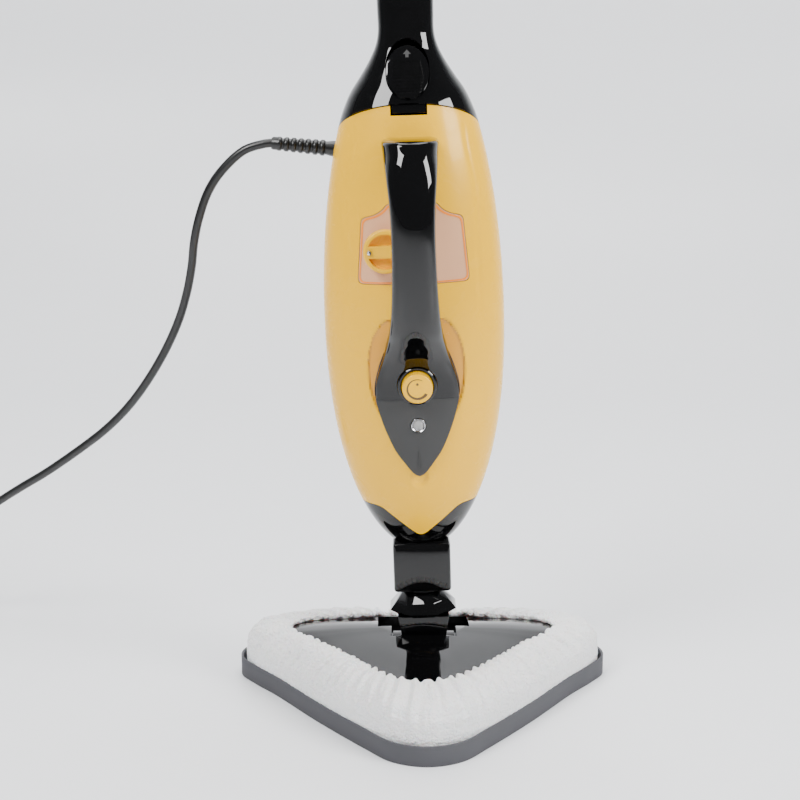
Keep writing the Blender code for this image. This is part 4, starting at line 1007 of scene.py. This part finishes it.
@dataclass
class HandheldShell:
    """The yellow front, the black rear and the lower cup."""

    low: float = 0.1300
    high: float = 0.5080
    arch_side: float = 0.4566
    arch_slope: float = 0.537
    cup_edge: float = 0.1650
    cup_tip: float = 0.1375
    cup_half: float = 0.0312
    screws: tuple[Flat, ...] = ((-0.034, 0.245), (0.034, 0.245), (0.0, 0.412))

    def arch(self) -> bpy.types.Object:
        """Return the tool for all that lies above the body's curved top edge.

        Returns:
            The new object.
        """
        reach = 0.09
        side = [(-reach, self.arch_side + self.arch_slope * reach), (0.0, self.arch_side),
                (reach, self.arch_side), (reach, 0.70), (-reach, 0.70)]
        return from_rings("above_arch", [[(x, y, z) for y, z in side] for x in (-BEYOND, BEYOND)])

    def cup_outline(self, lift: float, low: float) -> list[Flat]:
        """Return the front view of the lower cup, a wide V with a rounded tip.

        Args:
            lift: How far its edge is raised.
            low: How far down it reaches.

        Returns:
            The outline.
        """
        top = self.cup_edge + lift
        corners = [(-0.09, low), (0.09, low), (0.09, top), (self.cup_half, top), (0.0, self.cup_tip + lift),
                   (-self.cup_half, top), (-0.09, top)]
        return rounded(corners, 0.006)

    @staticmethod
    def window_outline(grow: float) -> list[Flat]:
        """Return the front view of the water window, a low house.

        Args:
            grow: How far it is moved out.

        Returns:
            The outline.
        """
        half = [(0.0420 + grow, 0.3440 - grow), (0.0380 + grow, 0.3930 + grow),
                (0.0290 + grow, 0.3950 + grow), (0.0225 + grow, 0.3985 + grow),
                (0.0180 + grow, 0.4040 + grow)]
        return rounded(half + [(-x, z) for x, z in reversed(half)], 0.005)

    @staticmethod
    def relief(x: float, z: float) -> float:
        """Return how far the front sinks: pockets by the grip, a dimple and two soft creases.

        Args:
            x: The place across.
            z: The height.

        Returns:
            A depth in metres.
        """
        side = abs(x)
        pocket = 0.0
        if 0.237 < z < 0.317:
            rise = (z - 0.277) / 0.040
            edge = 0.0190 + 0.0185 * math.sqrt(max(0.0, 1 - rise * rise))
            pocket = 0.0016 * (1 - soft_step(side, edge - 0.0014, edge))
        dimple = 0.0
        if z < 0.196:
            reach = math.hypot(x / 0.0078, (z - 0.1920) / 0.0110)
            dimple = 0.0017 * (1 - soft_step(reach, 0.45, 1.0))
        line = 0.0415 + 0.0080 * soft_step(0.46 - z, 0.0, 0.06) + 0.004 * soft_step(0.36 - z, 0.0, 0.12)
        crease = 0.00045 * math.exp(-((side - line) / 0.0016) ** 2) * soft_step(z, 0.30, 0.34)
        crease *= 1 - soft_step(z, 0.452, 0.470)
        return pocket + dimple + crease

    def below_cup(self) -> bpy.types.Object:
        """Return the tool for all that the lower cup takes the place of."""
        return prism("below_cup", self.cup_outline(GAP, 0.05), -BEYOND, BEYOND)

    def build_front(self) -> None:
        """Build the yellow front with its window hole, latch slot and two round holes."""
        front = SPINDLE.half_shell("shell_front", True, self.low, self.high, 0.0, -WALL,
                                   SPINDLE.seam - GAP / 2, relief=self.relief)
        for tool in (self.arch(), self.below_cup(),
                     prism("window_hole", self.window_outline(GAP), -BEYOND, 0.0), latch_slot(),
                     front_hole("shaft_hole", SHAFT_HOLE, KNOB_Z),
                     front_hole("lamp_hole", LAMP_HOLE, LAMP_Z)):
            combine(front, tool)
        lean(front)
        finish_piece(front, Body.HANDHELD, "yellow_shell", ["front_shell"])
        # Painted shade: the pocket faces get a darker yellow.
        self.paint_pocket_shade(front)

    def build_rear(self) -> None:
        """Build the black rear with the bores for its screws and the cord's relief."""
        rear = SPINDLE.half_shell("shell_rear", False, self.low, self.high, 0.0, -WALL,
                                  SPINDLE.seam + GAP / 2)
        bore = rod("relief_bore", 0.0066, 0.05, (0.0, 0.0, 0.0))
        bore.data.transform(relief_place())
        tools = [self.arch(), self.below_cup(), bore]
        tools += [rod("screw_bore", 0.0034, 0.06, (x, 0.050, z), "Y", 32) for x, z in self.screws]
        for tool in tools:
            combine(rear, tool)
        lean(rear)
        finish_piece(rear, Body.HANDHELD, "satin_black", ["rear_shell"])

    def build_cup(self) -> None:
        """Build the glossy cup that holds the body's lower end."""
        steps, rings = 160, []
        for grow, way in ((0.0, 1), (-WALL, -1)):
            rows = [0.1270 + 0.0460 * i / 70 for i in range(71)][::way]
            rings += [[((SPINDLE.half_width + grow) * SPINDLE.ratio(z) * math.cos(a),
                        (SPINDLE.half_depth + grow) * SPINDLE.ratio(z) * math.sin(a), z)
                       for a in (2 * math.pi * k / steps for k in range(steps))] for z in rows]
        cup = from_rings("lower_cup_shell", rings, closed=True)
        combine(cup, prism("cup_region", self.cup_outline(0.0, 0.1314), -BEYOND, BEYOND), "INTERSECT")
        lean(cup)
        finish_piece(cup, Body.HANDHELD, "gloss_black", ["lower_cup"])

    def build(self) -> None:
        """Build the front, the rear and the cup."""
        self.build_front()
        self.build_rear()
        self.build_cup()

    @staticmethod
    def paint_pocket_shade(front: bpy.types.Object) -> None:
        """Paint shade on the faces in the scooped pockets: a darker yellow that stands for the shadow falling
        there.

        Args:
            front: The yellow front, leaned.
        """
        front.data.materials.append(Finishes.POCKET_SHADE_YELLOW.build())
        back = LEAN.inverted()
        for face in front.data.polygons:
            p = back @ face.center
            # Faces where the pockets sink get the painted shade.
            if p.y < -0.02 and 0.24 < p.z and HandheldShell.relief(p.x, p.z) > 0.0007:
                face.material_index = 1


@dataclass
class Window:
    """The amber window, with its bright edge line."""

    low: float = 0.335
    high: float = 0.412
    line_width: float = 0.0011

    def skin(self, name: str, outer: float, inner: float) -> bpy.types.Object:
        """Return a layer of the front surface round the window."""
        return SPINDLE.half_shell(name, True, self.low, self.high, outer, inner, 0.0, 260, 70)

    def build(self) -> None:
        """Build the pane and the line moulded along its edge."""
        pane = self.skin("window_pane", -0.0002, -WALL)
        combine(pane, prism("pane_region", HandheldShell.window_outline(0.0), -BEYOND, 0.0), "INTERSECT")
        combine(pane, rod("filler_mouth", 0.0119, 0.040, (-0.021, -0.050, 0.370), "Y"))
        lean(pane)
        finish_piece(pane, Body.HANDHELD, "amber_clear", ["tank_window"])
        line = self.skin("window_line", 0.0001, -0.0001)
        edge = -0.0005
        combine(line, prism("line_region", HandheldShell.window_outline(edge), -BEYOND, 0.0), "INTERSECT")
        inside = HandheldShell.window_outline(edge - self.line_width)
        combine(line, prism("line_inside", inside, -BEYOND, 0.0))
        lean(line)
        finish_piece(line, Body.HANDHELD, "amber_clear", finish=Finishes.AMBER_LINE)


@dataclass
class FrontGrip:
    """The black grip that stands off the front, and the control plate below it."""

    stations: tuple[tuple[float, float, float, float], ...] = (
        (0.2560, 0.0318, -0.0532, -0.0400), (0.2640, 0.0316, -0.0546, -0.0400),
        (0.2740, 0.0296, -0.0572, -0.0400), (0.2840, 0.0264, -0.0620, -0.0400),
        (0.2920, 0.0243, -0.0680, -0.0400), (0.3020, 0.0222, -0.0765, -0.0420),
        (0.3130, 0.0198, -0.0850, -0.0600),
        (0.3280, 0.0180, -0.0935, -0.0720), (0.3500, 0.0168, -0.1005, -0.0780),
        (0.3800, 0.0162, -0.1040, -0.0800), (0.4050, 0.0168, -0.1035, -0.0790),
        (0.4240, 0.0183, -0.1005, -0.0740), (0.4350, 0.0195, -0.0975, -0.0560),
        (0.4430, 0.0205, -0.0945, -0.0330), (0.4500, 0.0212, -0.0900, -0.0300))

    def solid(self, name: str, grow: float) -> bpy.types.Object:
        """Skin the grip, moved out by a distance.

        Args:
            name: The piece's name.
            grow: How far it is moved out.

        Returns:
            The new object.
        """
        fronts = through([(h, w, f) for h, w, f, _ in self.stations], 8)
        backs = through([(h, b, 0.0) for h, _, _, b in self.stations], 8)
        rings = []
        for s, b in zip(fronts, backs):
            deep, wide = (b.y - s.z) / 2 + grow, s.y + grow
            rings.append([(wide * math.copysign(abs(math.cos(a)) ** 0.8, math.cos(a)),
                           (s.z + b.y) / 2 + deep * math.copysign(abs(math.sin(a)) ** 0.8, math.sin(a)), s.x)
                          for a in (2 * math.pi * (k + 0.5) / 96 for k in range(96))])
        top = rings[-1]
        for inset, rise in ((0.985, 0.0009), (0.96, 0.0017), (0.92, 0.0022)):
            rings.append([(x * inset, -0.06 + (y + 0.06) * inset, z + rise) for x, y, z in top])
        return from_rings(name, rings)

    def plate_outline(self) -> list[Flat]:
        """Return the front view of the control plate, a spade with its point down.

        Returns:
            The outline.
        """
        half = [(0.0, 0.1930), (0.0045, 0.1955), (0.0110, 0.2040), (0.0190, 0.2165), (0.0280, 0.2400),
                (0.0325, 0.2620), (0.0290, 0.2800), (0.0245, 0.2920)]
        line = [(p.x, p.y) for p in through([(x, z, 0.0) for x, z in half], 8)]
        return line + [(-x, z) for x, z in reversed(line[1:])]

    def build_bar(self) -> None:
        """Build the grip, cut back to the body and round the knob."""
        grip = self.solid("grip_bar", 0.0)
        combine(grip, SPINDLE.solid("grip_seat", GAP))
        combine(grip, rod("knob_recess", 0.0154, 0.040, (0.0, -0.0560, KNOB_Z), "Y", 96))
        lean(grip)
        finish_piece(grip, Body.HANDHELD, "gloss_black", ["front_grip"])

    def build_plate(self) -> None:
        """Build the control plate."""
        plate = SPINDLE.half_shell("control_face", True, 0.188, 0.300, PLATE_RISE, GAP, 0.0, 260, 120)
        combine(plate, prism("plate_region", self.plate_outline(), -BEYOND, 0.0), "INTERSECT")
        for tool in (self.solid("grip_grown", GAP), front_hole("shaft_hole", SHAFT_HOLE, KNOB_Z),
                     front_hole("lamp_hole", LAMP_HOLE, LAMP_Z)):
            combine(plate, tool)
        bevel(plate, 0.0004, 2, 50)
        lean(plate)
        finish_piece(plate, Body.HANDHELD, "satin_black", ["control_plate"])

    def build_rib(self) -> None:
        """Build the small rib above the plate's point."""
        rib = SPINDLE.half_shell("plate_rib", True, 0.198, 0.216, 0.0036, 0.0028, 0.0, 400, 20)
        outline = [(-0.0006, 0.1995), (0.0006, 0.1995), (0.0003, 0.2135), (-0.0003, 0.2135)]
        combine(rib, prism("rib_region", outline, -BEYOND, 0.0), "INTERSECT")
        lean(rib)
        finish_piece(rib, Body.HANDHELD, "satin_black")

    def build(self) -> None:
        """Build the grip and the plate with its small rib."""
        self.build_bar()
        self.build_plate()
        self.build_rib()


# ---------------------------------------------------------------- controls

@dataclass
class Controls:
    """The steam knob with its collar, the lamp, and the filler cap."""

    knob_radius: float = 0.0118
    knob_depth: float = 0.0100
    arc_radius: float = 0.0076
    tilt: float = 6.0
    cap_centre: tuple[float, float] = (-0.0210, 0.3700)
    cap_radius: float = 0.0162
    cap_thickness: float = 0.0095

    def knob_place(self) -> Matrix:
        """Return the knob's seat and the way that it faces."""
        seat = Vector((0.0, SPINDLE.front(0.0, KNOB_Z, PLATE_RISE) - 0.0016, KNOB_Z))
        return Matrix.Translation(seat) @ Matrix.Rotation(math.pi / 2 + math.radians(self.tilt), 4, "X")

    @staticmethod
    def mark(name: str, outline: Sequence[Flat], place: Matrix, base: float,
             thick: float) -> bpy.types.Object:
        """Return a thin mark on a face, from an outline round the face's middle.

        Args:
            name: The mark's name.
            outline: Its outline.
            place: Where the face is.
            base: The height that it starts at.
            thick: How thick it is.

        Returns:
            The new object.
        """
        item = from_rings(name, [[(x, y, z) for x, y in outline] for z in (base, base + thick)])
        item.data.transform(place)
        return lean(item)

    def build_collar(self, place: Matrix) -> None:
        """Build the black ring that the knob turns in.

        Args:
            place: The knob's seat.
        """
        rim = [(self.knob_radius + 0.0022, 0.0032), (self.knob_radius + 0.0030, 0.0026),
               (self.knob_radius + 0.0032, 0.0016), (self.knob_radius + 0.0032, 0.0),
               (self.knob_radius + 0.0004, 0.0), (self.knob_radius + 0.0004, 0.0026),
               (self.knob_radius + 0.0010, 0.0032)]
        collar = turned("knob_seat_ring", rim, place=place)
        lean(collar)
        finish_piece(collar, Body.HANDHELD, "gloss_black", ["knob_collar"])

    def build_knob(self, place: Matrix) -> None:
        """Build the knob, ribbed round its side.

        Args:
            place: The knob's seat.
        """
        rings, count, ribs = [], 240, 40
        for radius, height, rib in ((0.0, 0.0004, 0), (0.0112, 0.0004, 0), (0.0118, 0.0012, 0),
                                    (0.0118, 0.0030, 1), (0.0117, 0.0084, 1), (0.0115, 0.0092, 0),
                                    (0.0110, 0.0098, 0), (0.0104, 0.0100, 0), (0.0, 0.0100, 0)):
            ring = []
            for k in range(count):
                angle = 2 * math.pi * k / count
                reach = max(radius, 1e-5) - (0.0003 * (0.5 + 0.5 * math.cos(ribs * angle)) if rib else 0.0)
                ring.append((reach * math.cos(angle), reach * math.sin(angle), height))
            rings.append(ring)
        knob = from_rings("knob_turned", rings)
        knob.data.transform(place)
        lean(knob)
        finish_piece(knob, Body.KNOB, "yellow_shell", ["steam_knob"])

    def build_marks(self, place: Matrix) -> None:
        """Lay a tapering arc and a dot on the knob's face.

        Args:
            place: The knob's seat.
        """
        outer, inner = [], []
        for i in range(61):
            t = i / 60
            angle = math.radians(60 + 270 * t)
            half = 0.0002 + 0.0009 * t
            for side, reach in ((outer, self.arc_radius + half), (inner, self.arc_radius - half)):
                side.append((reach * math.cos(angle), reach * math.sin(angle)))
        marks = [("knob_arc", outer + inner[::-1]), ("knob_dot", ellipse(0.0010, 0.0010, (0.0, 0.0038), 24))]
        for name, outline in marks:
            item = self.mark(name, outline, place, self.knob_depth - 0.0002, 0.0003)
            finish_piece(item, Body.KNOB, "yellow_shell", finish=Finishes.MARK)

    def build_cap(self) -> None:
        """Build the filler cap: a disc with two deep half-moons either side of its bar."""
        x, z = self.cap_centre
        face = SPINDLE.front(x, z) - 0.0040
        place = Matrix.Translation((x, face, z)) @ Matrix.Rotation(math.pi / 2, 4, "X")
        r, t = self.cap_radius, self.cap_thickness
        profile = [(0.0, t), (r - 0.0016, t), (r - 0.0007, t - 0.0003), (r - 0.0001, t - 0.0010),
                   (r, t - 0.0018), (r, 0.0006), (r - 0.0006, 0.0), (0.0, 0.0)]
        cap = turned("filler_cap_disc", profile, steps=128, place=place)
        for start, end in ((20.0, 160.0), (200.0, 340.0)):
            angles = [math.radians(start + (end - start) * k / 12) for k in range(13)]
            arc = [((r - 0.0030) * math.cos(a) + x, (r - 0.0030) * math.sin(a) + z) for a in angles]
            combine(cap, prism("cap_moon", rounded(arc, 0.0008, 4), face - t - 0.01, face - t + 0.0055))
        lean(cap)
        finish_piece(cap, Body.CAP, "yellow_shell", ["filler_cap"])

    @staticmethod
    def build_lamp() -> None:
        """Build the lamp's steel ring and its clear lens."""
        face = SPINDLE.front(0.0, LAMP_Z, PLATE_RISE)
        place = Matrix.Translation((0.0, face, LAMP_Z)) @ Matrix.Rotation(math.pi / 2, 4, "X")
        ring = turned("lamp_bezel", [(0.0050, 0.0010), (0.0054, 0.0006), (0.0055, 0.0), (0.0055, -0.0080),
                                     (0.0045, -0.0080), (0.0045, 0.0006)], place=place)
        lean(ring)
        finish_piece(ring, Body.HANDHELD, "steel", ["lamp_ring"])
        lens = turned("lamp_dome", [(0.0, 0.0020), (0.0012, 0.0019), (0.0025, 0.0014), (0.0035, 0.0008),
                                    (0.0041, 0.0001), (0.0041, -0.0080), (0.0, -0.0080)], place=place)
        lean(lens)
        finish_piece(lens, Body.HANDHELD, "clear_lens", ["lamp_lens"])

    def build(self) -> None:
        """Build the knob, the cap and the lamp."""
        place = self.knob_place()
        self.build_collar(place)
        self.build_knob(place)
        self.build_marks(place)
        self.build_cap()
        self.build_lamp()


# ---------------------------------------------------------------- connector

@dataclass
class PoleConnector:
    """The trumpet over the body's top, its panel, and the ribbed sliding latch."""

    top: float = 0.6000
    flat: float = 0.76
    steps: int = 144
    tilt: float = 24.0
    place: Point = (0.0, -0.0275, 0.4980)
    side: tuple[Flat, ...] = (
        (0.0214, 0.6000), (0.0214, 0.5700), (0.0212, 0.5450), (0.0211, 0.5290), (0.0234, 0.5180),
        (0.0287, 0.5069), (0.0357, 0.4957), (0.0432, 0.4845), (0.0486, 0.4732), (0.0526, 0.4619),
        (0.0551, 0.4500), (0.0570, 0.4300))

    def line(self, grow: float) -> list[Flat]:
        """Return the trumpet's side, top to bottom, moved out by a distance."""
        return [(p.x + grow, p.y) for p in through([(r, z, 0.0) for r, z in self.side], 6)]

    def below(self) -> bpy.types.Object:
        """Return the tool for all that lies below the body's curved top edge.

        Returns:
            The new object.
        """
        shell, reach = HandheldShell(), 0.09
        side = [(-reach, shell.arch_side + shell.arch_slope * reach + GAP),
                (0.0, shell.arch_side + GAP), (reach, shell.arch_side + GAP),
                (reach, 0.40), (-reach, 0.40)]
        return from_rings("below_arch", [[(x, y, z) for y, z in side] for x in (-BEYOND, BEYOND)])

    def on_slope(self) -> Matrix:
        """Return the latch's place on the trumpet's sloping front."""
        return Matrix.Translation(self.place) @ Matrix.Rotation(math.radians(-self.tilt), 4, "X")

    def opening(self) -> bpy.types.Object:
        """Return the tool for the oval that the latch slides in.

        Returns:
            The new object.
        """
        outline = []
        for i in range(96):
            a = 2 * math.pi * (i + 0.5) / 96
            lift = 0.0064 if math.sin(a) > 0 else 0.0
            outline.append((0.0164 * math.cos(a), lift + 0.0209 * math.sin(a)))
        item = prism("button_opening", outline, -0.012, 0.014)
        item.data.transform(self.on_slope())
        return item

    def build_trumpet(self) -> None:
        """Build the trumpet, hollow below and bored for the pole above."""
        inner = [(r, z) for r, z in self.line(-WALL) if z < 0.523]
        section = [(0.0, self.top)] + self.line(0.0) + inner[::-1] + [(0.0, 0.5260)]
        body = turned("connector_trumpet", section, self.flat, self.steps)
        for tool in (self.below(), rod("tube_bore", 0.0134, 0.20, (0.0, 0.0, 0.6305)), latch_slot(),
                     self.opening()):
            combine(body, tool)
        lean(body)
        finish_piece(body, Body.POLE, "gloss_black", ["trumpet_connector"])

    def build_panel(self) -> None:
        """Build the panel that lies on the trumpet's front."""
        section = self.line(0.0015) + self.line(GAP)[::-1]
        panel = turned("connector_face", section, self.flat, self.steps)
        half = [(0.0450, 0.4500), (0.0400, 0.4775), (0.0222, 0.5015), (0.0150, 0.5125), (0.0112, 0.5240),
                (0.0098, 0.5340), (0.0046, 0.5440)]
        edge = [(p.x, p.y) for p in through([(x, z, 0.0) for x, z in half], 6)]
        outline = edge + [(-x, z) for x, z in reversed(edge)]
        combine(panel, prism("panel_region", outline, -BEYOND, 0.0), "INTERSECT")
        for tool in (self.below(), self.opening()):
            combine(panel, tool)
        lean(panel)
        finish_piece(panel, Body.POLE, "gloss_black", ["connector_panel"])

    def build_latch(self) -> None:
        """Build the oval latch with its ribs, an arrow and the tongue."""
        button = prism("latch_oval", ellipse(0.0160, 0.0205, (0.0, 0.0), 128), -0.0038, 0.0055)
        combine(button, block("latch_tongue", (0.0250, 0.0025, 0.0160), (0.0, 0.00425, -0.0215)), "UNION")
        for k in range(10):
            z = -0.0158 + 0.0026 * k
            size = (0.024 - 0.0010 * abs(k - 5), 0.0016, 0.0009)
            combine(button, block("rib_groove", size, (0.0, -0.0038, z)))
        bevel(button, 0.00035, 2, 50)
        button.data.transform(self.on_slope())
        lean(button)
        finish_piece(button, Body.LATCH, "gloss_black", ["latch_button"])
        arrow = [(0.0, 0.0172), (0.0030, 0.0138), (0.0012, 0.0138), (0.0012, 0.0112), (-0.0012, 0.0112),
                 (-0.0012, 0.0138), (-0.0030, 0.0138)]
        item = prism("latch_arrow", arrow, -0.0041, -0.0036)
        item.data.transform(self.on_slope())
        lean(item)
        finish_piece(item, Body.LATCH, "gloss_black", finish=Finishes.SATIN)

    def build(self) -> None:
        """Build the three pieces."""
        self.build_trumpet()
        self.build_panel()
        self.build_latch()


# ---------------------------------------------------------------- floor head

@dataclass
class FloorHead:
    """The glider, the glossy cover and the microfibre pad pulled over the sole."""

    half_width: float = 0.151
    front: float = -0.151
    back: float = 0.084
    centre: float = -0.012
    rim: float = 0.016
    rim_wall: float = 0.002
    rib_width: float = 0.018
    sole_low: float = 0.0073
    pad_voxel: float = 0.0022
    puff_cap: float = 0.0022
    puff_pressure: float = 4.0
    puff_frames: int = 20
    steps: tuple[tuple[float, float, float], ...] = (
        (0.925, 0.925, 0.0197), (0.920, 0.920, 0.0290), (0.880, 0.875, 0.0360), (0.795, 0.765, 0.0410),
        (0.700, 0.620, 0.0445), (0.600, 0.500, 0.0475), (0.420, 0.360, 0.0515), (0.220, 0.200, 0.0550))

    def outline(self, scale_x: float, scale_y: float, per_span: int = 12) -> list[Flat]:
        """Return the rounded triangle, scaled about the head's centre.

        Args:
            scale_x: The share of its width.
            scale_y: The share of its depth.
            per_span: Steps between two of its points.

        Returns:
            The outline.
        """
        f, b = self.front, self.back
        half = [(0.0, f), (0.026, f + 0.009), (0.047, f + 0.034), (0.084, f + 0.085), (0.118, f + 0.137),
                (0.138, f + 0.164), (self.half_width, 0.036), (0.146, 0.060), (0.120, b - 0.008),
                (0.060, b - 0.001), (0.0, b)]
        other = [(-x, y) for x, y in reversed(half[1:-1])]
        ring = through([(x, y, 0.0) for x, y in half + other], per_span, closed=True)
        return [(p.x * scale_x, self.centre + (p.y - self.centre) * scale_y) for p in ring]

    def ring(self, scale_x: float, scale_y: float, height: float) -> list[Point]:
        """Return the outline as a ring at a height."""
        return [(x, y, height) for x, y in self.outline(scale_x, scale_y)]

    def build_glider(self) -> None:
        """Build the tray with its thin rim and the two crossing ribs under it."""
        inset = 1.0 - self.rim_wall / self.half_width
        tray = from_rings("glider_tray", [self.ring(1, 1, 0.0), self.ring(1, 1, self.rim)])
        hollow = [self.ring(inset, inset, height) for height in (self.rim_wall, 0.05)]
        combine(tray, from_rings("hollow", hollow))
        window = from_rings("window", [self.ring(0.72, 0.68, -0.01), self.ring(0.72, 0.68, 0.01)])
        for size in ((0.4, self.rib_width, 0.05), (self.rib_width, 0.4, 0.05)):
            combine(window, block("rib", size, (0.0, 0.0, 0.0)))
        combine(tray, window)
        bevel(tray, 0.0005, 2, 50)
        finish_piece(tray, Body.GLIDER, "glider_grey", ["carpet_glider"])

    def build_cover(self) -> None:
        """Build the cover, with the well that the swivel turns in and the room behind it."""
        line = through([Vector(s) for s in self.steps], 6)
        cover = from_rings("cover_dome", [self.ring(p.x, p.y, p.z) for p in line])
        inside = [(p.x * 0.965, p.y * 0.965, p.z - 0.003) for p in line]
        inside[0] = (inside[0][0], inside[0][1], 0.0097)
        hollow = from_rings("dome_hollow", [self.ring(*p) for p in inside])
        combine(hollow, block("boss", (0.078, 0.104, 0.10), (0.0, 0.010, 0.04)))
        for tool in (hollow, rod("well", 0.0215, 0.052, (0.0, 0.0, PITCH_Z), "X", 96),
                     block("well_mouth", (0.052, 0.043, 0.05), (0.0, 0.0, 0.060)),
                     block("lean_trough", (0.074, 0.060, 0.05), (0.0, 0.030, 0.057)),
                     block("lobe_trough", (0.049, 0.030, 0.05), (0.0, 0.025, 0.049)),
                     rod("pitch_bore", 0.0034, 0.0716, (0.0, 0.0, PITCH_Z), "X")):
            combine(cover, tool)
        bevel(cover, 0.0006, 2, 50)
        finish_piece(cover, Body.HEAD, "gloss_black", ["head_cover"], degrees=40)

    def build_pad(self) -> None:
        """Build the pad: a gathered bag, puffed by simulation and roughened to a terry pile."""
        lining = [(sx + 0.010, sy + 0.012, z + 0.0009) for sx, sy, z in self.steps[1:5]]
        inner = [(0.930, 0.931, self.sole_low - 0.0004), (0.935, 0.937, self.sole_low + 0.002)] + lining
        outer = [(0.938, 0.938, 0.0026), (0.968, 0.968, 0.0054), (0.971, 0.971, 0.019),
                 (0.962, 0.962, 0.0319)]
        outer += [(sx + 0.030, sy + 0.030, z + 0.0034) for sx, sy, z in lining[1:3]]
        outer += [(sx + 0.004, sy + 0.004, z + 0.0034) for sx, sy, z in lining[3:]]
        pad = from_rings("pad_bag", [self.ring(*s) for s in outer + inner[::-1]], closed=True)
        combine(pad, block("hem_notch", (0.078, 0.050, 0.05), (0.0, 0.040, 0.0595)))
        remesh = pad.modifiers.new("remesh", "REMESH")
        remesh.mode, remesh.voxel_size = "VOXEL", self.pad_voxel
        apply_all(pad)
        self.puff(pad)
        finer = pad.modifiers.new("finer", "SUBSURF")
        finer.levels = finer.render_levels = 1
        apply_all(pad)
        self.gather(pad)
        finish_piece(pad, Body.HEAD, "microfibre", ["microfibre_pad"], degrees=180)

    def puff(self, pad: bpy.types.Object) -> None:
        """Inflate the bag a little with a cloth simulation, no point moving over the cap.

        Args:
            pad: The bag.
        """
        rest = np.array([v.co for v in pad.data.vertices], float)
        cloth = pad.modifiers.new("cloth", "CLOTH")
        cloth.settings.use_pressure = True
        cloth.settings.uniform_pressure_force = self.puff_pressure
        cloth.settings.effector_weights.gravity = 0.0
        scene = bpy.context.scene
        for number in range(1, self.puff_frames + 1):
            scene.frame_set(number)
        shape = pad.evaluated_get(bpy.context.evaluated_depsgraph_get())
        moved = np.array([v.co for v in shape.data.vertices], float)
        pad.modifiers.remove(cloth)
        scene.frame_set(1)
        shift = moved - rest
        far = np.linalg.norm(shift, axis=1, keepdims=True)
        shift *= np.minimum(1.0, self.puff_cap / np.maximum(far, 1e-9))
        pad.data.vertices.foreach_set("co", (rest + shift).ravel())
        pad.data.update()

    def gather(self, pad: bpy.types.Object) -> None:
        """Press radial pleats into the pad from its elastic edge, and raise its pile.

        Args:
            pad: The puffed bag.
        """
        data = pad.data
        count = len(data.vertices)
        co, no = np.zeros(count * 3), np.zeros(count * 3)
        data.vertices.foreach_get("co", co)
        data.vertices.foreach_get("normal", no)
        co, no = co.reshape(-1, 3), no.reshape(-1, 3)
        for i in range(count):
            x, y, z = co[i]
            if z < 0.012 or no[i][2] < -0.2:
                continue
            angle = math.atan2(y - self.centre, x * 0.85)
            wander = noise.noise(Vector((x * 18, y * 18, 3.0))) * 1.5
            pleat = math.sin(angle * 64 + wander * 3) + 0.5 * math.sin(angle * 111 + 1.7 + wander * 2)
            high = soft_step(z, 0.020, 0.042)
            broad = noise.noise(Vector((x * 30, y * 30, z * 30)))
            fluff = noise.noise(Vector((x * 420, y * 420, z * 420)))
            rise = 0.0012 * pleat * high + 0.0010 * broad * soft_step(z, 0.012, 0.03) + 0.00055 * fluff
            co[i] += no[i] * rise
        data.vertices.foreach_set("co", co.ravel())
        data.update()

    def build(self) -> None:
        """Build the head's three visible pieces."""
        self.build_glider()
        self.build_cover()
        self.build_pad()


@dataclass
class SmallParts:
    """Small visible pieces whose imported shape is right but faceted: merged, rounded and smoothed."""

    rounding: float = 0.0004
    nodes: tuple[tuple[str, Body], ...] = (
        ("swivel_block", Body.SWIVEL), ("lower_neck", Body.NECK), ("skirt_collar", Body.NECK),
        ("neck_socket", Body.HANDHELD), ("tube_coupler", Body.POLE), ("cord_hook_lower", Body.POLE),
        ("top_handle", Body.POLE), ("grip_sleeve", Body.POLE), ("lower_tube", Body.POLE),
        ("upper_tube", Body.POLE))

    def build(self, frame: dict) -> None:
        """Copy each node, merge its doubles, round its edges and let it stand for the node.
        """
        slots = {part["node"]: part["material_slot"] for part in frame["record"]["subparts"]}
        for name, body in self.nodes:
            data = frame["nodes"][name].data.copy()
            item = bpy.data.objects.new(name + "_rounded", data)
            bpy.context.scene.collection.objects.link(item)
            outward(item)
            activate(item)
            bpy.ops.object.mode_set(mode="EDIT")
            bpy.ops.mesh.select_all(action="SELECT")
            bpy.ops.mesh.dissolve_limited(angle_limit=math.radians(1.0))
            bpy.ops.object.mode_set(mode="OBJECT")
            bevel(item, self.rounding, 2, 42)
            finish_piece(item, body, slots[name], [name], degrees=32)


def main() -> None:
    """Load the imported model, build every sub-assembly and report each piece."""
    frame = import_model()
    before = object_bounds()
    Stage().build()
    MainsCord().build()
    HandheldShell().build()
    Window().build()
    FrontGrip().build()
    Controls().build()
    PoleConnector().build()
    FloorHead().build()
    SmallParts().build(frame)
    dress_frame(frame)
    write_sizes(before)


if __name__ == "__main__":
    main()
